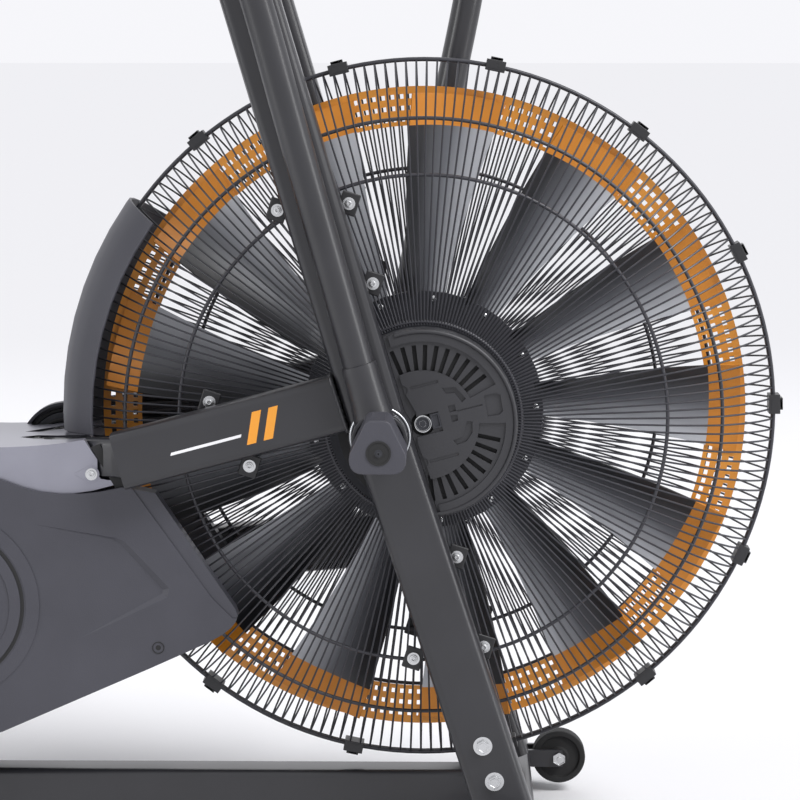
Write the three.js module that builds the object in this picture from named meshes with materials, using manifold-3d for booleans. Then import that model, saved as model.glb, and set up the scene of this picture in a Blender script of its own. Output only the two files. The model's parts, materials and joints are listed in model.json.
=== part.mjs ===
// Dual-action air bike: a pedalled fan in a wire cage, with two swinging arms coupled to the cranks.
// Millimetres. +X points forward, +Y to the rider's left, +Z up. Y = 0 is the plane of symmetry.
import * as THREE from "three";
import { mergeVertices } from "three/addons/utils/BufferGeometryUtils.js";
import Module from "manifold-3d";

// ---- Driving dimensions -------------------------------------------------------------------------

const DEGREE = Math.PI / 180;
const GAP = 0.3; // between touching pieces

const HUB = { x: 252, z: 480 }; // fan axis
const CRANK = { x: -258, z: 283 }; // pedal axis
const IDLER = { x: -150, z: 425 }; // countershaft axis
const PIVOT = { x: 208, z: 471 }; // axis of both arms

const CAGE_RADIUS = 378;
const CAGE_WIRE = 4;
const CAGE_SHOULDER = { radius: 318, depth: 72 };
const CAGE_FACE = { radius: 259, depth: 85 };
const CAGE_MOUTH = { radius: 100, depth: 88 };
const CAGE_SPOKES = 18;
const HOOP_SEGMENTS = 18;

const FAN_RADIUS = 346;
const FAN_RING_WIDTH = 38;
const FAN_DISC_RADIUS = 130;
const BLADE_COUNT = 13;
const BLADE_ANGLE = 17 * DEGREE;
const BLADE_FRONT = -30;
const BLADE_BACK = 10;

const FRAME_Y = 132; // middle of the uprights and main tubes
const TUBE_HEIGHT = 60;
const TUBE_WIDTH = 40;
const TUBE_WALL = 3;
const TUBE_CORNER = 9;
const UPRIGHT_TOP = { x: 24, z: 1090 };
const UPRIGHT_FOOT = { x: 342, z: 62 };
const MAIN_TUBE_REAR = { x: -68, z: 441 };
const MAIN_TUBE_FRONT = { x: 171, z: 505 };

const SHROUD_HALF = 109;
const SHROUD_WALL = 4;
const SHROUD_ROUND = 150;

const BASE_TUBE = { width: 60, height: 40 };
const REAR_BASE_X = -604;
const FRONT_BASE_X = 344;
const BASE_BOTTOM = 14;
const BASE_HALF = 339;
const FRONT_BASE_HALF = 300;
const FOOT_INSET = 34;
const WHEEL = { x: 409, y: 232, z: 42, radius: 31, width: 22 };

const CRANK_LENGTH = 165;
const CRANK_Y = 120;
const PEDAL_Y = 182;
const PEDAL = { length: 104, width: 92, height: 26 };

const ARM_Y = 177.2;
const ARM_TUBE_RADIUS = 16.5;
const ARM_SOCKET_RADIUS = 18.5;
const ARM_BACK_LEAN = 15.6 * DEGREE;
const ARM_SWING = 27 * DEGREE;
const LEVER_LENGTH = 45;

const SEAT_FOOT = { x: -256, z: 86 };
const SEAT_CLAMP = { x: -382, z: 680 };
const SEAT_TUBE = { width: 62, depth: 52, wall: 4 };
const PIN_HEIGHT = 640;
const SADDLE_TOP = 862;

const MAST_TOP = { x: -8, z: 1212 };
const CONSOLE = { x: -22, z: 1265, width: 190, height: 150, depth: 42, tilt: 12 * DEGREE };

// ---- Solids -------------------------------------------------------------------------------------

const wasm = await Module();
wasm.setup();

function toSolid(geometry) {
  const bare = geometry.clone();
  bare.deleteAttribute("normal");
  bare.deleteAttribute("uv");
  const merged = mergeVertices(bare, 1e-4);
  return new wasm.Manifold(
    new wasm.Mesh({
      numProp: 3,
      vertProperties: Float32Array.from(merged.attributes.position.array),
      triVerts: Uint32Array.from(merged.index.array),
    }),
  );
}

function toGeometry(solid) {
  const mesh = solid.getMesh();
  const geometry = new THREE.BufferGeometry();
  geometry.setAttribute("position", new THREE.BufferAttribute(mesh.vertProperties, 3));
  geometry.setIndex(new THREE.BufferAttribute(mesh.triVerts, 1));
  return geometry;
}

function join(...geometries) {
  return toGeometry(geometries.map(toSolid).reduce((whole, piece) => whole.add(piece)));
}

function cut(geometry, ...tools) {
  return toGeometry(tools.map(toSolid).reduce((whole, tool) => whole.subtract(tool), toSolid(geometry)));
}

function common(geometry, tool) {
  return toGeometry(toSolid(geometry).intersect(toSolid(tool)));
}

function mirrored(geometry) {
  return toGeometry(toSolid(geometry).mirror([0, 1, 0]));
}

// Cutting a thin wall can leave loose chips: only the main body is kept.
function withoutChips(geometry) {
  const bodies = toSolid(geometry).decompose();
  return toGeometry(bodies.reduce((most, body) => (body.volume() > most.volume() ? body : most)));
}

function roundedRect(width, height, radius) {
  const x = width / 2 - radius;
  const y = height / 2 - radius;
  const shape = new THREE.Shape();
  shape.absarc(x, y, radius, 0, Math.PI / 2);
  shape.absarc(-x, y, radius, Math.PI / 2, Math.PI);
  shape.absarc(-x, -y, radius, Math.PI, 1.5 * Math.PI);
  shape.absarc(x, -y, radius, 1.5 * Math.PI, 2 * Math.PI);
  return shape;
}

function hollowRect(width, height, wall) {
  const shape = roundedRect(width, height, 8);
  shape.holes.push(new THREE.Path(roundedRect(width - 2 * wall, height - 2 * wall, 5).getPoints(1)));
  return shape;
}

function ngon(radius, sides) {
  const corners = [];
  for (let i = 0; i < sides; i += 1) {
    const angle = (i / sides) * 2 * Math.PI;
    corners.push(new THREE.Vector2(radius * Math.cos(angle), radius * Math.sin(angle)));
  }
  return new THREE.Shape(corners);
}

// An outline in the XZ plane, given thickness from y0 to y1.
function plate(shape, y0, y1, curveSegments = 6) {
  const geometry = new THREE.ExtrudeGeometry(shape, { depth: y1 - y0, bevelEnabled: false, curveSegments });
  geometry.rotateX(Math.PI / 2);
  geometry.translate(0, y1, 0);
  return geometry;
}

// A cylinder along Y from y0 to y1.
function drum(centre, radius, y0, y1, sides = 32) {
  const geometry = new THREE.CylinderGeometry(radius, radius, y1 - y0, sides);
  geometry.translate(centre.x, (y0 + y1) / 2, centre.z);
  return geometry;
}

// A straight bar between two points; `side` is the direction of the section's second axis.
function bar(shape, from, to, side = new THREE.Vector3(0, 1, 0), curveSegments = 1) {
  const along = new THREE.Vector3().subVectors(to, from);
  const depth = along.length();
  along.normalize();
  const across = new THREE.Vector3().crossVectors(side, along).normalize();
  const upright = new THREE.Vector3().crossVectors(along, across);
  const geometry = new THREE.ExtrudeGeometry(shape, { depth, bevelEnabled: false, curveSegments });
  const place = new THREE.Matrix4().makeBasis(across, upright, along);
  place.setPosition(from);
  geometry.applyMatrix4(place);
  return geometry;
}

// A round outline about the fan axis.
function disc(radius) {
  const shape = new THREE.Shape();
  shape.absarc(HUB.x, HUB.z, radius, 0, 2 * Math.PI);
  return shape;
}

function point(place, y) {
  return new THREE.Vector3(place.x, y, place.z);
}

// A point on the line from a to b: t = 0 gives a, t = 1 gives b, beyond them it extends.
function along(a, b, t) {
  return { x: a.x + (b.x - a.x) * t, z: a.z + (b.z - a.z) * t };
}

function pipe(points, radius, sides, steps) {
  const extrudePath = new THREE.CatmullRomCurve3(points);
  return new THREE.ExtrudeGeometry(ngon(radius, sides), { steps, extrudePath, bevelEnabled: false });
}

// A solid of revolution about the fan axis from points (radius, y), closed on the axis or on itself.
function turned(profile, sides = 64) {
  const points = [...profile];
  if (THREE.ShapeUtils.area(points) < 0) {
    points.reverse();
  }
  if (points[0].x > 0) {
    points.push(points[0].clone());
  }
  const geometry = new THREE.LatheGeometry(points, sides);
  geometry.translate(HUB.x, 0, HUB.z);
  return geometry;
}

// ---- Finishes -----------------------------------------------------------------------------------

function finish(color, roughness, metalness) {
  return new THREE.MeshStandardMaterial({ color, roughness, metalness });
}

const frameCoat = finish("#4a4a50", 0.42, 0.2);
const shroudPlastic = finish("#55555f", 0.5, 0);
const blackPlastic = finish("#26262a", 0.55, 0);
const wireCoat = finish("#3c3c42", 0.45, 0.3);
const fanCoat = finish("#44464c", 0.45, 0.3);
const orangeCoat = finish("#d7963c", 0.45, 0.1);
const silverCoat = finish("#9a9aa4", 0.35, 0.4);
const steel = finish("#b4b6ba", 0.3, 0.9);
const rubber = finish("#1c1c1e", 0.8, 0);
const foam = finish("#2a2a2c", 0.85, 0);
const padCover = finish("#222224", 0.6, 0);

const bike = new THREE.Group();

function add(name, geometry, material, parent = bike) {
  const mesh = new THREE.Mesh(geometry, material);
  mesh.name = name;
  parent.add(mesh);
  return mesh;
}

// ---- Room kept for the cage ---------------------------------------------------------------------

function cageEnvelope(clearance) {
  const half = [
    [0, CAGE_MOUTH.depth + 4],
    [CAGE_FACE.radius + 3, CAGE_FACE.depth + 5],
    [CAGE_SHOULDER.radius + 6, CAGE_SHOULDER.depth + 5],
    [CAGE_RADIUS + CAGE_WIRE + 4, CAGE_WIRE + 5],
  ].map(([radius, depth]) => new THREE.Vector2(radius > 0 ? radius + clearance : 0, depth + clearance));
  const otherHalf = half.map((corner) => new THREE.Vector2(corner.x, -corner.y));
  return turned([...otherHalf, ...half.reverse()], 40);
}

// ---- Base ---------------------------------------------------------------------------------------

const baseSection = hollowRect(BASE_TUBE.height, BASE_TUBE.width, 3);
const baseMiddle = BASE_BOTTOM + BASE_TUBE.height / 2;

function baseBar(x, half) {
  return bar(
    baseSection,
    new THREE.Vector3(x, -half, baseMiddle),
    new THREE.Vector3(x, half, baseMiddle),
    new THREE.Vector3(1, 0, 0),
  );
}

const SPINE = { height: 58, width: 50, wall: 3 };
const SPINE_Z = baseMiddle + 22;

// Two feet under the ends of a base bar.
function feet(x, half) {
  return [-1, 1].map((side) => {
    const foot = new THREE.CylinderGeometry(21, 24, BASE_BOTTOM + 2, 20);
    foot.rotateX(Math.PI / 2);
    foot.translate(x, side * (half - FOOT_INSET), (BASE_BOTTOM + 2) / 2);
    return foot;
  });
}

// The wheels turn on pins held by a pair of lugs in front of the front bar.
function wheelLugs(side) {
  const lugs = [-1, 1].map((edge) => {
    const lug = new THREE.BoxGeometry(WHEEL.x - FRONT_BASE_X, 6, 20);
    lug.translate((WHEEL.x + FRONT_BASE_X) / 2 + 4, side * (WHEEL.y + edge * 16), WHEEL.z);
    return lug;
  });
  return [...lugs, drum(WHEEL, 5, side * WHEEL.y - 17, side * WHEEL.y + 17, 16)];
}

const rearBar = join(baseBar(REAR_BASE_X, BASE_HALF), ...feet(REAR_BASE_X, BASE_HALF));
const frontBar = join(
  baseBar(FRONT_BASE_X, FRONT_BASE_HALF),
  ...feet(FRONT_BASE_X, FRONT_BASE_HALF),
  ...wheelLugs(-1),
  ...wheelLugs(1),
);
const spine = bar(
  hollowRect(SPINE.height, SPINE.width, SPINE.wall),
  new THREE.Vector3(REAR_BASE_X + BASE_TUBE.width / 2 + GAP, 0, SPINE_Z),
  new THREE.Vector3(FRONT_BASE_X - BASE_TUBE.width / 2 - GAP, 0, SPINE_Z),
);
add("rear_stabilizer", rearBar, frameCoat);
add("front_stabilizer", frontBar, frameCoat);
add("spine_beam", spine, frameCoat);

// ---- Uprights, main tubes and arm pivots --------------------------------------------------------

const tubeSection = roundedRect(TUBE_HEIGHT, TUBE_WIDTH, TUBE_CORNER);
const boreSection = roundedRect(
  TUBE_HEIGHT - 2 * TUBE_WALL,
  TUBE_WIDTH - 2 * TUBE_WALL,
  TUBE_CORNER - TUBE_WALL,
);
const uprightKnee = { x: PIVOT.x, z: PIVOT.z };
const right = (place) => point(place, -FRAME_Y);

const BOSS_RADIUS = 33;
const BOSS_FACE = FRAME_Y + TUBE_WIDTH / 2 + 6;
const SHAFT_RADIUS = 12;

const uprightOuter = join(
  bar(tubeSection, right(uprightKnee), right(UPRIGHT_TOP)),
  bar(tubeSection, right(uprightKnee), right(UPRIGHT_FOOT)),
  drum(PIVOT, BOSS_RADIUS, -BOSS_FACE, -(FRAME_Y - TUBE_WIDTH / 2), 28),
  plate(axlePlate(), -(FRAME_Y - TUBE_WIDTH / 2) - 1, -(FRAME_Y - TUBE_WIDTH / 2) + 3),
);

// The plate on the upright that holds one end of the fan axle.
function axlePlate() {
  const shape = new THREE.Shape();
  shape.moveTo(PIVOT.x, HUB.z - 34);
  shape.lineTo(HUB.x + 8, HUB.z - 26);
  shape.lineTo(HUB.x + 30, HUB.z - 10);
  shape.lineTo(HUB.x + 30, HUB.z + 10);
  shape.lineTo(HUB.x + 8, HUB.z + 26);
  shape.lineTo(PIVOT.x - 10, HUB.z + 34);
  return shape;
}

const AXLE_RADIUS = 8.5;
const rodTunnel = bar(
  ngon(11, 12),
  right(along(MAIN_TUBE_REAR, MAIN_TUBE_FRONT, 0.9)),
  right(along(MAIN_TUBE_REAR, MAIN_TUBE_FRONT, 1.14)),
);
const uprightBore = join(
  bar(boreSection, right(uprightKnee), right(along(uprightKnee, UPRIGHT_TOP, 1.02))),
  bar(boreSection, right(uprightKnee), right(along(uprightKnee, UPRIGHT_FOOT, 1.02))),
);
const basePocket = new THREE.BoxGeometry(BASE_TUBE.width + 2 * GAP + 30, 80, BASE_TUBE.height + 2 * GAP);
basePocket.translate(FRONT_BASE_X, -FRAME_Y, baseMiddle);
const uprightRight = cut(
  uprightOuter,
  uprightBore,
  drum(PIVOT, TUBE_HEIGHT / 2 - TUBE_WALL, -(FRAME_Y + 17), -(FRAME_Y - 17), 24),
  rodTunnel,
  drum(PIVOT, SHAFT_RADIUS + 0.1, -BOSS_FACE - 1, -FRAME_Y, 48),
  drum(HUB, AXLE_RADIUS + 0.1, -FRAME_Y, -(FRAME_Y - TUBE_WIDTH / 2) + 10, 24),
  basePocket,
);
add("upright_right", uprightRight, frameCoat);
add("upright_left", mirrored(uprightRight), frameCoat);

// The rear ends are cut back so that they stay outside the circle that the pedals sweep.
const uprightWrap = join(
  bar(roundedRect(TUBE_HEIGHT + 2 * GAP, TUBE_WIDTH + 20, 2), right(uprightKnee), right(UPRIGHT_TOP)),
  bar(roundedRect(TUBE_HEIGHT + 2 * GAP, TUBE_WIDTH + 20, 2), right(uprightKnee), right(UPRIGHT_FOOT)),
  drum(PIVOT, BOSS_RADIUS + GAP, -BOSS_FACE - 5, -100, 28),
);
const rearTrim = new THREE.BoxGeometry(80, 60, 160);
rearTrim.rotateY(-16 * DEGREE);
rearTrim.translate(MAIN_TUBE_REAR.x - 40, -FRAME_Y, MAIN_TUBE_REAR.z);
const mainTubeRight = cut(
  bar(
    tubeSection,
    right(along(MAIN_TUBE_REAR, MAIN_TUBE_FRONT, -0.12)),
    right(along(MAIN_TUBE_REAR, MAIN_TUBE_FRONT, 1.06)),
  ),
  bar(
    boreSection,
    right(along(MAIN_TUBE_REAR, MAIN_TUBE_FRONT, -0.2)),
    right(along(MAIN_TUBE_REAR, MAIN_TUBE_FRONT, 1.2)),
  ),
  uprightWrap,
  rearTrim,
);

// ---- Rear fork: joins both main tubes to the seat tube, passing either side of the cage ---------

const FORK_ROOT = { x: -184, z: 428 };
const forkTip = along(MAIN_TUBE_REAR, MAIN_TUBE_FRONT, 0.03);
const forkInner = new THREE.Vector3(FORK_ROOT.x, 12, FORK_ROOT.z);
const forkOuter = new THREE.Vector3(forkTip.x + 6, FRAME_Y - TUBE_WIDTH / 2, forkTip.z);

function forkBar(width, height, overrun) {
  const start = forkInner.clone().lerp(forkOuter, -overrun);
  const end = forkInner.clone().lerp(forkOuter, 1 + overrun);
  return bar(roundedRect(width, height, 7), start, end, new THREE.Vector3(0, 0, 1));
}
const forkArm = forkBar(27, 42, 0.02);
const forkTrim = new THREE.BoxGeometry(200, 60, 200);
forkTrim.translate(forkTip.x, FRAME_Y - TUBE_WIDTH / 2 - GAP + 30, forkTip.z);

const seatAxisAt = (z) => along(SEAT_FOOT, SEAT_CLAMP, (z - SEAT_FOOT.z) / (SEAT_CLAMP.z - SEAT_FOOT.z));
const forkStem = bar(
  roundedRect(40, 46, 7),
  new THREE.Vector3(FORK_ROOT.x + 16, 0, FORK_ROOT.z),
  new THREE.Vector3(seatAxisAt(FORK_ROOT.z).x + 20, 0, FORK_ROOT.z),
);

// ---- Seat tube with the crank bearing shell -----------------------------------------------------

const seatFoot = point(SEAT_FOOT, 0);
const seatClamp = point(SEAT_CLAMP, 0);
const seatSection = roundedRect(SEAT_TUBE.width, SEAT_TUBE.depth, 8);
const seatBoreSection = roundedRect(
  SEAT_TUBE.width - 2 * SEAT_TUBE.wall,
  SEAT_TUBE.depth - 2 * SEAT_TUBE.wall,
  5,
);
const seatOuter = bar(seatSection, seatFoot, seatClamp);
const seatBore = bar(
  seatBoreSection,
  point(along(SEAT_FOOT, SEAT_CLAMP, -0.05), 0),
  point(along(SEAT_FOOT, SEAT_CLAMP, 1.05), 0),
);
const spineTrim = new THREE.BoxGeometry(160, 80, 60);
spineTrim.translate(SEAT_FOOT.x, 0, SPINE_Z + SPINE.height / 2 + GAP - 30);
const AXLE_SHELL = { radius: 24, half: 36, bore: 12.6 };
const shellBridge = new THREE.BoxGeometry(70, 50, 30);
shellBridge.translate(CRANK.x - 30, 0, CRANK.z);
const crankShell = join(drum(CRANK, AXLE_SHELL.radius, -AXLE_SHELL.half, AXLE_SHELL.half, 32), shellBridge);
const shellBore = drum(CRANK, AXLE_SHELL.bore, -AXLE_SHELL.half - 1, AXLE_SHELL.half + 1, 32);
const seatSide = new THREE.Vector3(SEAT_CLAMP.z - SEAT_FOOT.z, 0, SEAT_FOOT.x - SEAT_CLAMP.x).normalize();
const pinCentre = point(seatAxisAt(PIN_HEIGHT), 0);
const knobBore = bar(
  ngon(7, 12),
  pinCentre.clone().addScaledVector(seatSide, 12),
  pinCentre.clone().addScaledVector(seatSide, 60),
);
const seatTube = cut(join(seatOuter, crankShell), seatBore, spineTrim, shellBore, knobBore);
add("seat_tube", seatTube, frameCoat);

const seatWrap = bar(
  roundedRect(SEAT_TUBE.width + 2 * GAP, SEAT_TUBE.depth + 2 * GAP, 8 + GAP),
  point(along(SEAT_FOOT, SEAT_CLAMP, -0.1), 0),
  point(along(SEAT_FOOT, SEAT_CLAMP, 1.1), 0),
);
const IDLER_PIN = 8;
const forkWhole = cut(
  join(forkArm, mirrored(forkArm), forkStem, drum(IDLER, IDLER_PIN, 40, 104, 20)),
  forkTrim,
  mirrored(forkTrim),
  seatWrap,
);
add("rear_fork", forkWhole, frameCoat);
add("main_tube_right", mainTubeRight, frameCoat);
add("main_tube_left", mirrored(mainTubeRight), frameCoat);

// A second tube stiffens the left leg, where the belt pulls.
const BRACE_REAR = { x: -8, z: 299 };
const BRACE_FRONT = { x: 262, z: 322 };
const braceBendFront = new THREE.Vector3(BRACE_REAR.x + 6, FRAME_Y - 2, BRACE_REAR.z);
const braceBendRear = new THREE.Vector3(-208, 24, 262);
const braceStraight = bar(
  tubeSection,
  new THREE.Vector3(BRACE_REAR.x, FRAME_Y, BRACE_REAR.z),
  new THREE.Vector3(BRACE_FRONT.x, FRAME_Y, BRACE_FRONT.z),
);
const braceBend = bar(roundedRect(TUBE_HEIGHT, 30, TUBE_CORNER), braceBendFront, braceBendRear);
const brace = cut(
  join(braceStraight, braceBend),
  mirrored(uprightWrap),
  seatWrap,
  drum(CRANK, AXLE_SHELL.radius + GAP, -60, 60, 32),
);

// ---- Belt drive ---------------------------------------------------------------------------------

const CRANK_PULLEY = 100;
const IDLER_SMALL = 30;
const IDLER_LARGE = 40;
const FAN_PULLEY = 22;
const BELT = { thickness: 3, width: 7.8, play: 0.9 };
const FIRST_BELT_Y = 86;
const SECOND_BELT_Y = 98.5;

// The outline round two circles, as a belt lies on two pulleys.
function beltOutline(a, radiusA, b, radiusB) {
  const span = Math.hypot(b.x - a.x, b.z - a.z);
  const heading = Math.atan2(b.z - a.z, b.x - a.x);
  const lean = Math.acos((radiusA - radiusB) / span);
  const shape = new THREE.Shape();
  shape.absarc(a.x, a.z, radiusA, heading + lean, heading - lean + 2 * Math.PI);
  shape.absarc(b.x, b.z, radiusB, heading - lean, heading + lean);
  return shape;
}

function belt(a, radiusA, b, radiusB, y) {
  const outer = beltOutline(a, radiusA + BELT.play + BELT.thickness, b, radiusB + BELT.play + BELT.thickness);
  const inner = beltOutline(a, radiusA + BELT.play, b, radiusB + BELT.play);
  return cut(
    plate(outer, y - BELT.width / 2, y + BELT.width / 2, 9),
    plate(inner, y - BELT.width, y + BELT.width, 9),
  );
}

add("crank_belt", belt(CRANK, CRANK_PULLEY, IDLER, IDLER_SMALL, FIRST_BELT_Y), rubber);
add("fan_belt", belt(IDLER, IDLER_LARGE, HUB, FAN_PULLEY, SECOND_BELT_Y), rubber);

// ---- Casings ------------------------------------------------------------------------------------

const SHROUD_TIP = { x: 58, z: 262 };

function shroudOutline(inset) {
  const roundRadius = SHROUD_ROUND - inset;
  const topAngle = 63 * DEGREE;
  const bottomAngle = (360 - 65.8) * DEGREE;
  const shape = new THREE.Shape();
  shape.moveTo(-66 - inset * 0.8, 410 - inset);
  shape.quadraticCurveTo(-136, 392 - inset, CRANK.x + roundRadius * Math.cos(topAngle),
    CRANK.z + roundRadius * Math.sin(topAngle));
  shape.absarc(CRANK.x, CRANK.z, roundRadius, topAngle, bottomAngle);
  shape.lineTo(-37, 216 + inset);
  shape.lineTo(7 - inset * 0.6, 236 + inset);
  shape.quadraticCurveTo(SHROUD_TIP.x + 8 - inset * 1.6, SHROUD_TIP.z - 2 + inset * 0.4,
    SHROUD_TIP.x - 5 - inset, SHROUD_TIP.z + 18);
  shape.lineTo(-31 - inset, 404 - inset);
  return shape;
}

const COLLAR = { top: 460, bottom: 398, rear: -236, front: -70, half: 104 };

function collarOutline(inset) {
  const edge = COLLAR.bottom + 14 + inset;
  const shape = new THREE.Shape();
  shape.moveTo(COLLAR.rear + inset, edge);
  shape.quadraticCurveTo(-140, COLLAR.bottom - 8 + inset, COLLAR.front - 4 - inset, edge);
  shape.lineTo(COLLAR.front - 36 - inset, COLLAR.top - inset);
  shape.quadraticCurveTo(-160, COLLAR.top - 10 - inset, COLLAR.rear + inset, COLLAR.top - 8 - inset);
  return shape;
}

const driveHull = beltOutline(CRANK, CRANK_PULLEY + 8, IDLER, IDLER_SMALL + 8);
const coverHull = (extra) => beltOutline(IDLER, IDLER_LARGE + 11 + extra, HUB, FAN_PULLEY + 22 + extra);
const coverSlot = plate(coverHull(GAP), 92, SHROUD_HALF + 2, 12);
const driveRoom = plate(driveHull, 79, 95, 10);
const idlerRoom = drum(IDLER, IDLER_LARGE + 6, 79, 110, 24);
const braceRoom = bar(roundedRect(TUBE_HEIGHT + 6, 42, TUBE_CORNER), braceBendFront, braceBendRear);
const forkWide = forkBar(33, 47, 0.12);
const forkRoom = join(
  forkWide,
  mirrored(forkWide),
  bar(
    roundedRect(46, 52, 7),
    new THREE.Vector3(FORK_ROOT.x + 20, 0, FORK_ROOT.z),
    new THREE.Vector3(-380, 0, FORK_ROOT.z),
  ),
);

const collarShell = cut(
  cut(plate(collarOutline(0), -COLLAR.half, COLLAR.half), cageEnvelope(0)),
  cut(plate(collarOutline(3), -COLLAR.half + 3, COLLAR.half - 3), cageEnvelope(3)),
  forkRoom,
  seatWrap,
  coverSlot,
  driveRoom,
  idlerRoom,
);
add("collar_cover", withoutChips(collarShell), silverCoat);

const collarWrap = plate(collarOutline(-GAP), -COLLAR.half - GAP, COLLAR.half + GAP);
const shroudOuter = cut(plate(shroudOutline(0), GAP, SHROUD_HALF), cageEnvelope(0));
const shroudInner = cut(
  plate(shroudOutline(SHROUD_WALL), -1, SHROUD_HALF - SHROUD_WALL),
  cageEnvelope(SHROUD_WALL),
);
const axleHole = drum(CRANK, 17, 50, SHROUD_HALF + 5, 24);
const shroudLeft = cut(
  cut(shroudOuter, shroudInner),
  seatWrap,
  axleHole,
  coverSlot,
  driveRoom,
  idlerRoom,
  forkRoom,
  collarWrap,
  braceRoom,
);
const shroudRight = mirrored(cut(cut(shroudOuter, shroudInner), seatWrap, axleHole, forkRoom, collarWrap));
add("shroud_right", shroudRight, shroudPlastic);
add("shroud_left", shroudLeft, shroudPlastic);
add("lower_brace_left", brace, frameCoat);

const coverLeft = cut(
  plate(coverHull(0), 92.6, SHROUD_HALF - GAP, 12),
  plate(coverHull(-3.5), 90, SHROUD_HALF - 3.5, 12),
  mirrored(uprightWrap),
  forkRoom,
  drum(HUB, AXLE_RADIUS + 3, 60, 130, 24),
);
add("belt_cover_left", coverLeft, shroudPlastic);

// ---- Cage ---------------------------------------------------------------------------------------

function hoop(radius, y, wire) {
  const shape = disc(radius + wire);
  shape.holes.push(new THREE.Path(disc(radius - wire).getPoints(HOOP_SEGMENTS)));
  return plate(shape, y - wire, y + wire, HOOP_SEGMENTS);
}

// A bent strip given by its middle line in (radius, y), as a closed outline.
function ribbon(points, thickness) {
  const near = [];
  const far = [];
  points.forEach(([radius, y], i) => {
    const before = points[Math.max(i - 1, 0)];
    const after = points[Math.min(i + 1, points.length - 1)];
    const direction = new THREE.Vector2(after[0] - before[0], after[1] - before[1]).normalize();
    const offset = new THREE.Vector2(-direction.y, direction.x).multiplyScalar(thickness / 2);
    near.push(new THREE.Vector2(radius + offset.x, y + offset.y));
    far.unshift(new THREE.Vector2(radius - offset.x, y - offset.y));
  });
  return new THREE.Shape([...near, ...far]);
}

function spoke(angle) {
  const line = [
    [CAGE_MOUTH.radius + 2, -CAGE_MOUTH.depth],
    [CAGE_FACE.radius, -CAGE_FACE.depth],
    [CAGE_SHOULDER.radius, -CAGE_SHOULDER.depth],
    [CAGE_RADIUS, -CAGE_WIRE - GAP],
  ];
  const width = 3;
  const geometry = new THREE.ExtrudeGeometry(ribbon(line, 3), { depth: width, bevelEnabled: false });
  geometry.translate(0, 0, -width / 2);
  geometry.rotateY(-angle);
  geometry.translate(HUB.x, 0, HUB.z);
  return geometry;
}

const mouthRing = disc(CAGE_MOUTH.radius + 10);
mouthRing.holes.push(new THREE.Path(disc(CAGE_MOUTH.radius - 4).getPoints(12)));

const guardRight = join(
  hoop(CAGE_RADIUS, -CAGE_WIRE - GAP, CAGE_WIRE),
  hoop(CAGE_SHOULDER.radius, -CAGE_SHOULDER.depth, 3),
  hoop(CAGE_FACE.radius, -CAGE_FACE.depth, 2.5),
  plate(mouthRing, -CAGE_MOUTH.depth - 2, -CAGE_MOUTH.depth + 2, HOOP_SEGMENTS),
  ...Array.from({ length: CAGE_SPOKES }, (_, i) => spoke(((i + 0.25) / CAGE_SPOKES) * 2 * Math.PI)),
);
add("guard_right", guardRight, wireCoat);
add("guard_left", mirrored(guardRight), wireCoat);

// ---- Wind guard: a curved shield round the rider's side of the cage -----------------------------

const WIND_GUARD = { from: 144 * DEGREE, to: 183 * DEGREE, rim: 391, lip: 352, depth: 80 };
const shieldLine = [];
for (let i = -4; i <= 4; i += 1) {
  const across = i / 4;
  const radius = WIND_GUARD.rim - (WIND_GUARD.rim - WIND_GUARD.lip) * across * across;
  shieldLine.push([radius, WIND_GUARD.depth * across]);
}
const shieldRing = turned(ribbon(shieldLine, 3).getPoints(), 72);
const shieldWedge = new THREE.Shape();
shieldWedge.absarc(HUB.x, HUB.z, 460, WIND_GUARD.from, WIND_GUARD.to);
shieldWedge.lineTo(HUB.x, HUB.z);
const windGuard = common(shieldRing, plate(shieldWedge, -100, 100, 12));
add("wind_guard", windGuard, blackPlastic);

// ---- Hub cover on the right ---------------------------------------------------------------------

const HUB_COVER = { radius: 100, face: 120, back: 93, wall: 3 };
const SLOT = { middle: 69, length: 28, width: 4.6 };

function coverSlotAt(angle) {
  const slot = new THREE.BoxGeometry(SLOT.length, 20, SLOT.width);
  slot.translate(SLOT.middle, 0, 0);
  slot.rotateY(-angle);
  slot.translate(HUB.x, -HUB_COVER.face, HUB.z);
  return slot;
}

const upperSlots = Array.from({ length: 10 }, (_, i) => coverSlotAt((38 + i * 8.4) * DEGREE));
const lowerSlots = Array.from({ length: 9 }, (_, i) => coverSlotAt((-12 - i * 8.8) * DEGREE));

// Everything behind the middle of the upright, where the cover stops.
const behindUpright = new THREE.Shape();
[along(PIVOT, UPRIGHT_TOP, 0.3), PIVOT, along(PIVOT, UPRIGHT_FOOT, 0.5)].forEach((corner, i) => {
  behindUpright[i === 0 ? "moveTo" : "lineTo"](corner.x, corner.z);
});
behindUpright.lineTo(PIVOT.x - 200, HUB.z - 200);
behindUpright.lineTo(PIVOT.x - 200, HUB.z + 200);

const hubCover = cut(
  plate(disc(HUB_COVER.radius), -HUB_COVER.face, -HUB_COVER.back, 20),
  plate(disc(HUB_COVER.radius - HUB_COVER.wall), -HUB_COVER.face + HUB_COVER.wall, -HUB_COVER.back + 5, 20),
  plate(behindUpright, -HUB_COVER.face - 5, -HUB_COVER.back + 5),
  uprightWrap,
  drum(HUB, AXLE_RADIUS + 4, -HUB_COVER.face - 5, -HUB_COVER.back, 24),
  ...upperSlots,
  ...lowerSlots,
);
add("hub_cover_right", hubCover, shroudPlastic);

// ---- Fan ----------------------------------------------------------------------------------------

add("fan_axle", drum(HUB, AXLE_RADIUS, -HUB_COVER.face + 2, HUB_COVER.face - 2, 24), steel);

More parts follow.
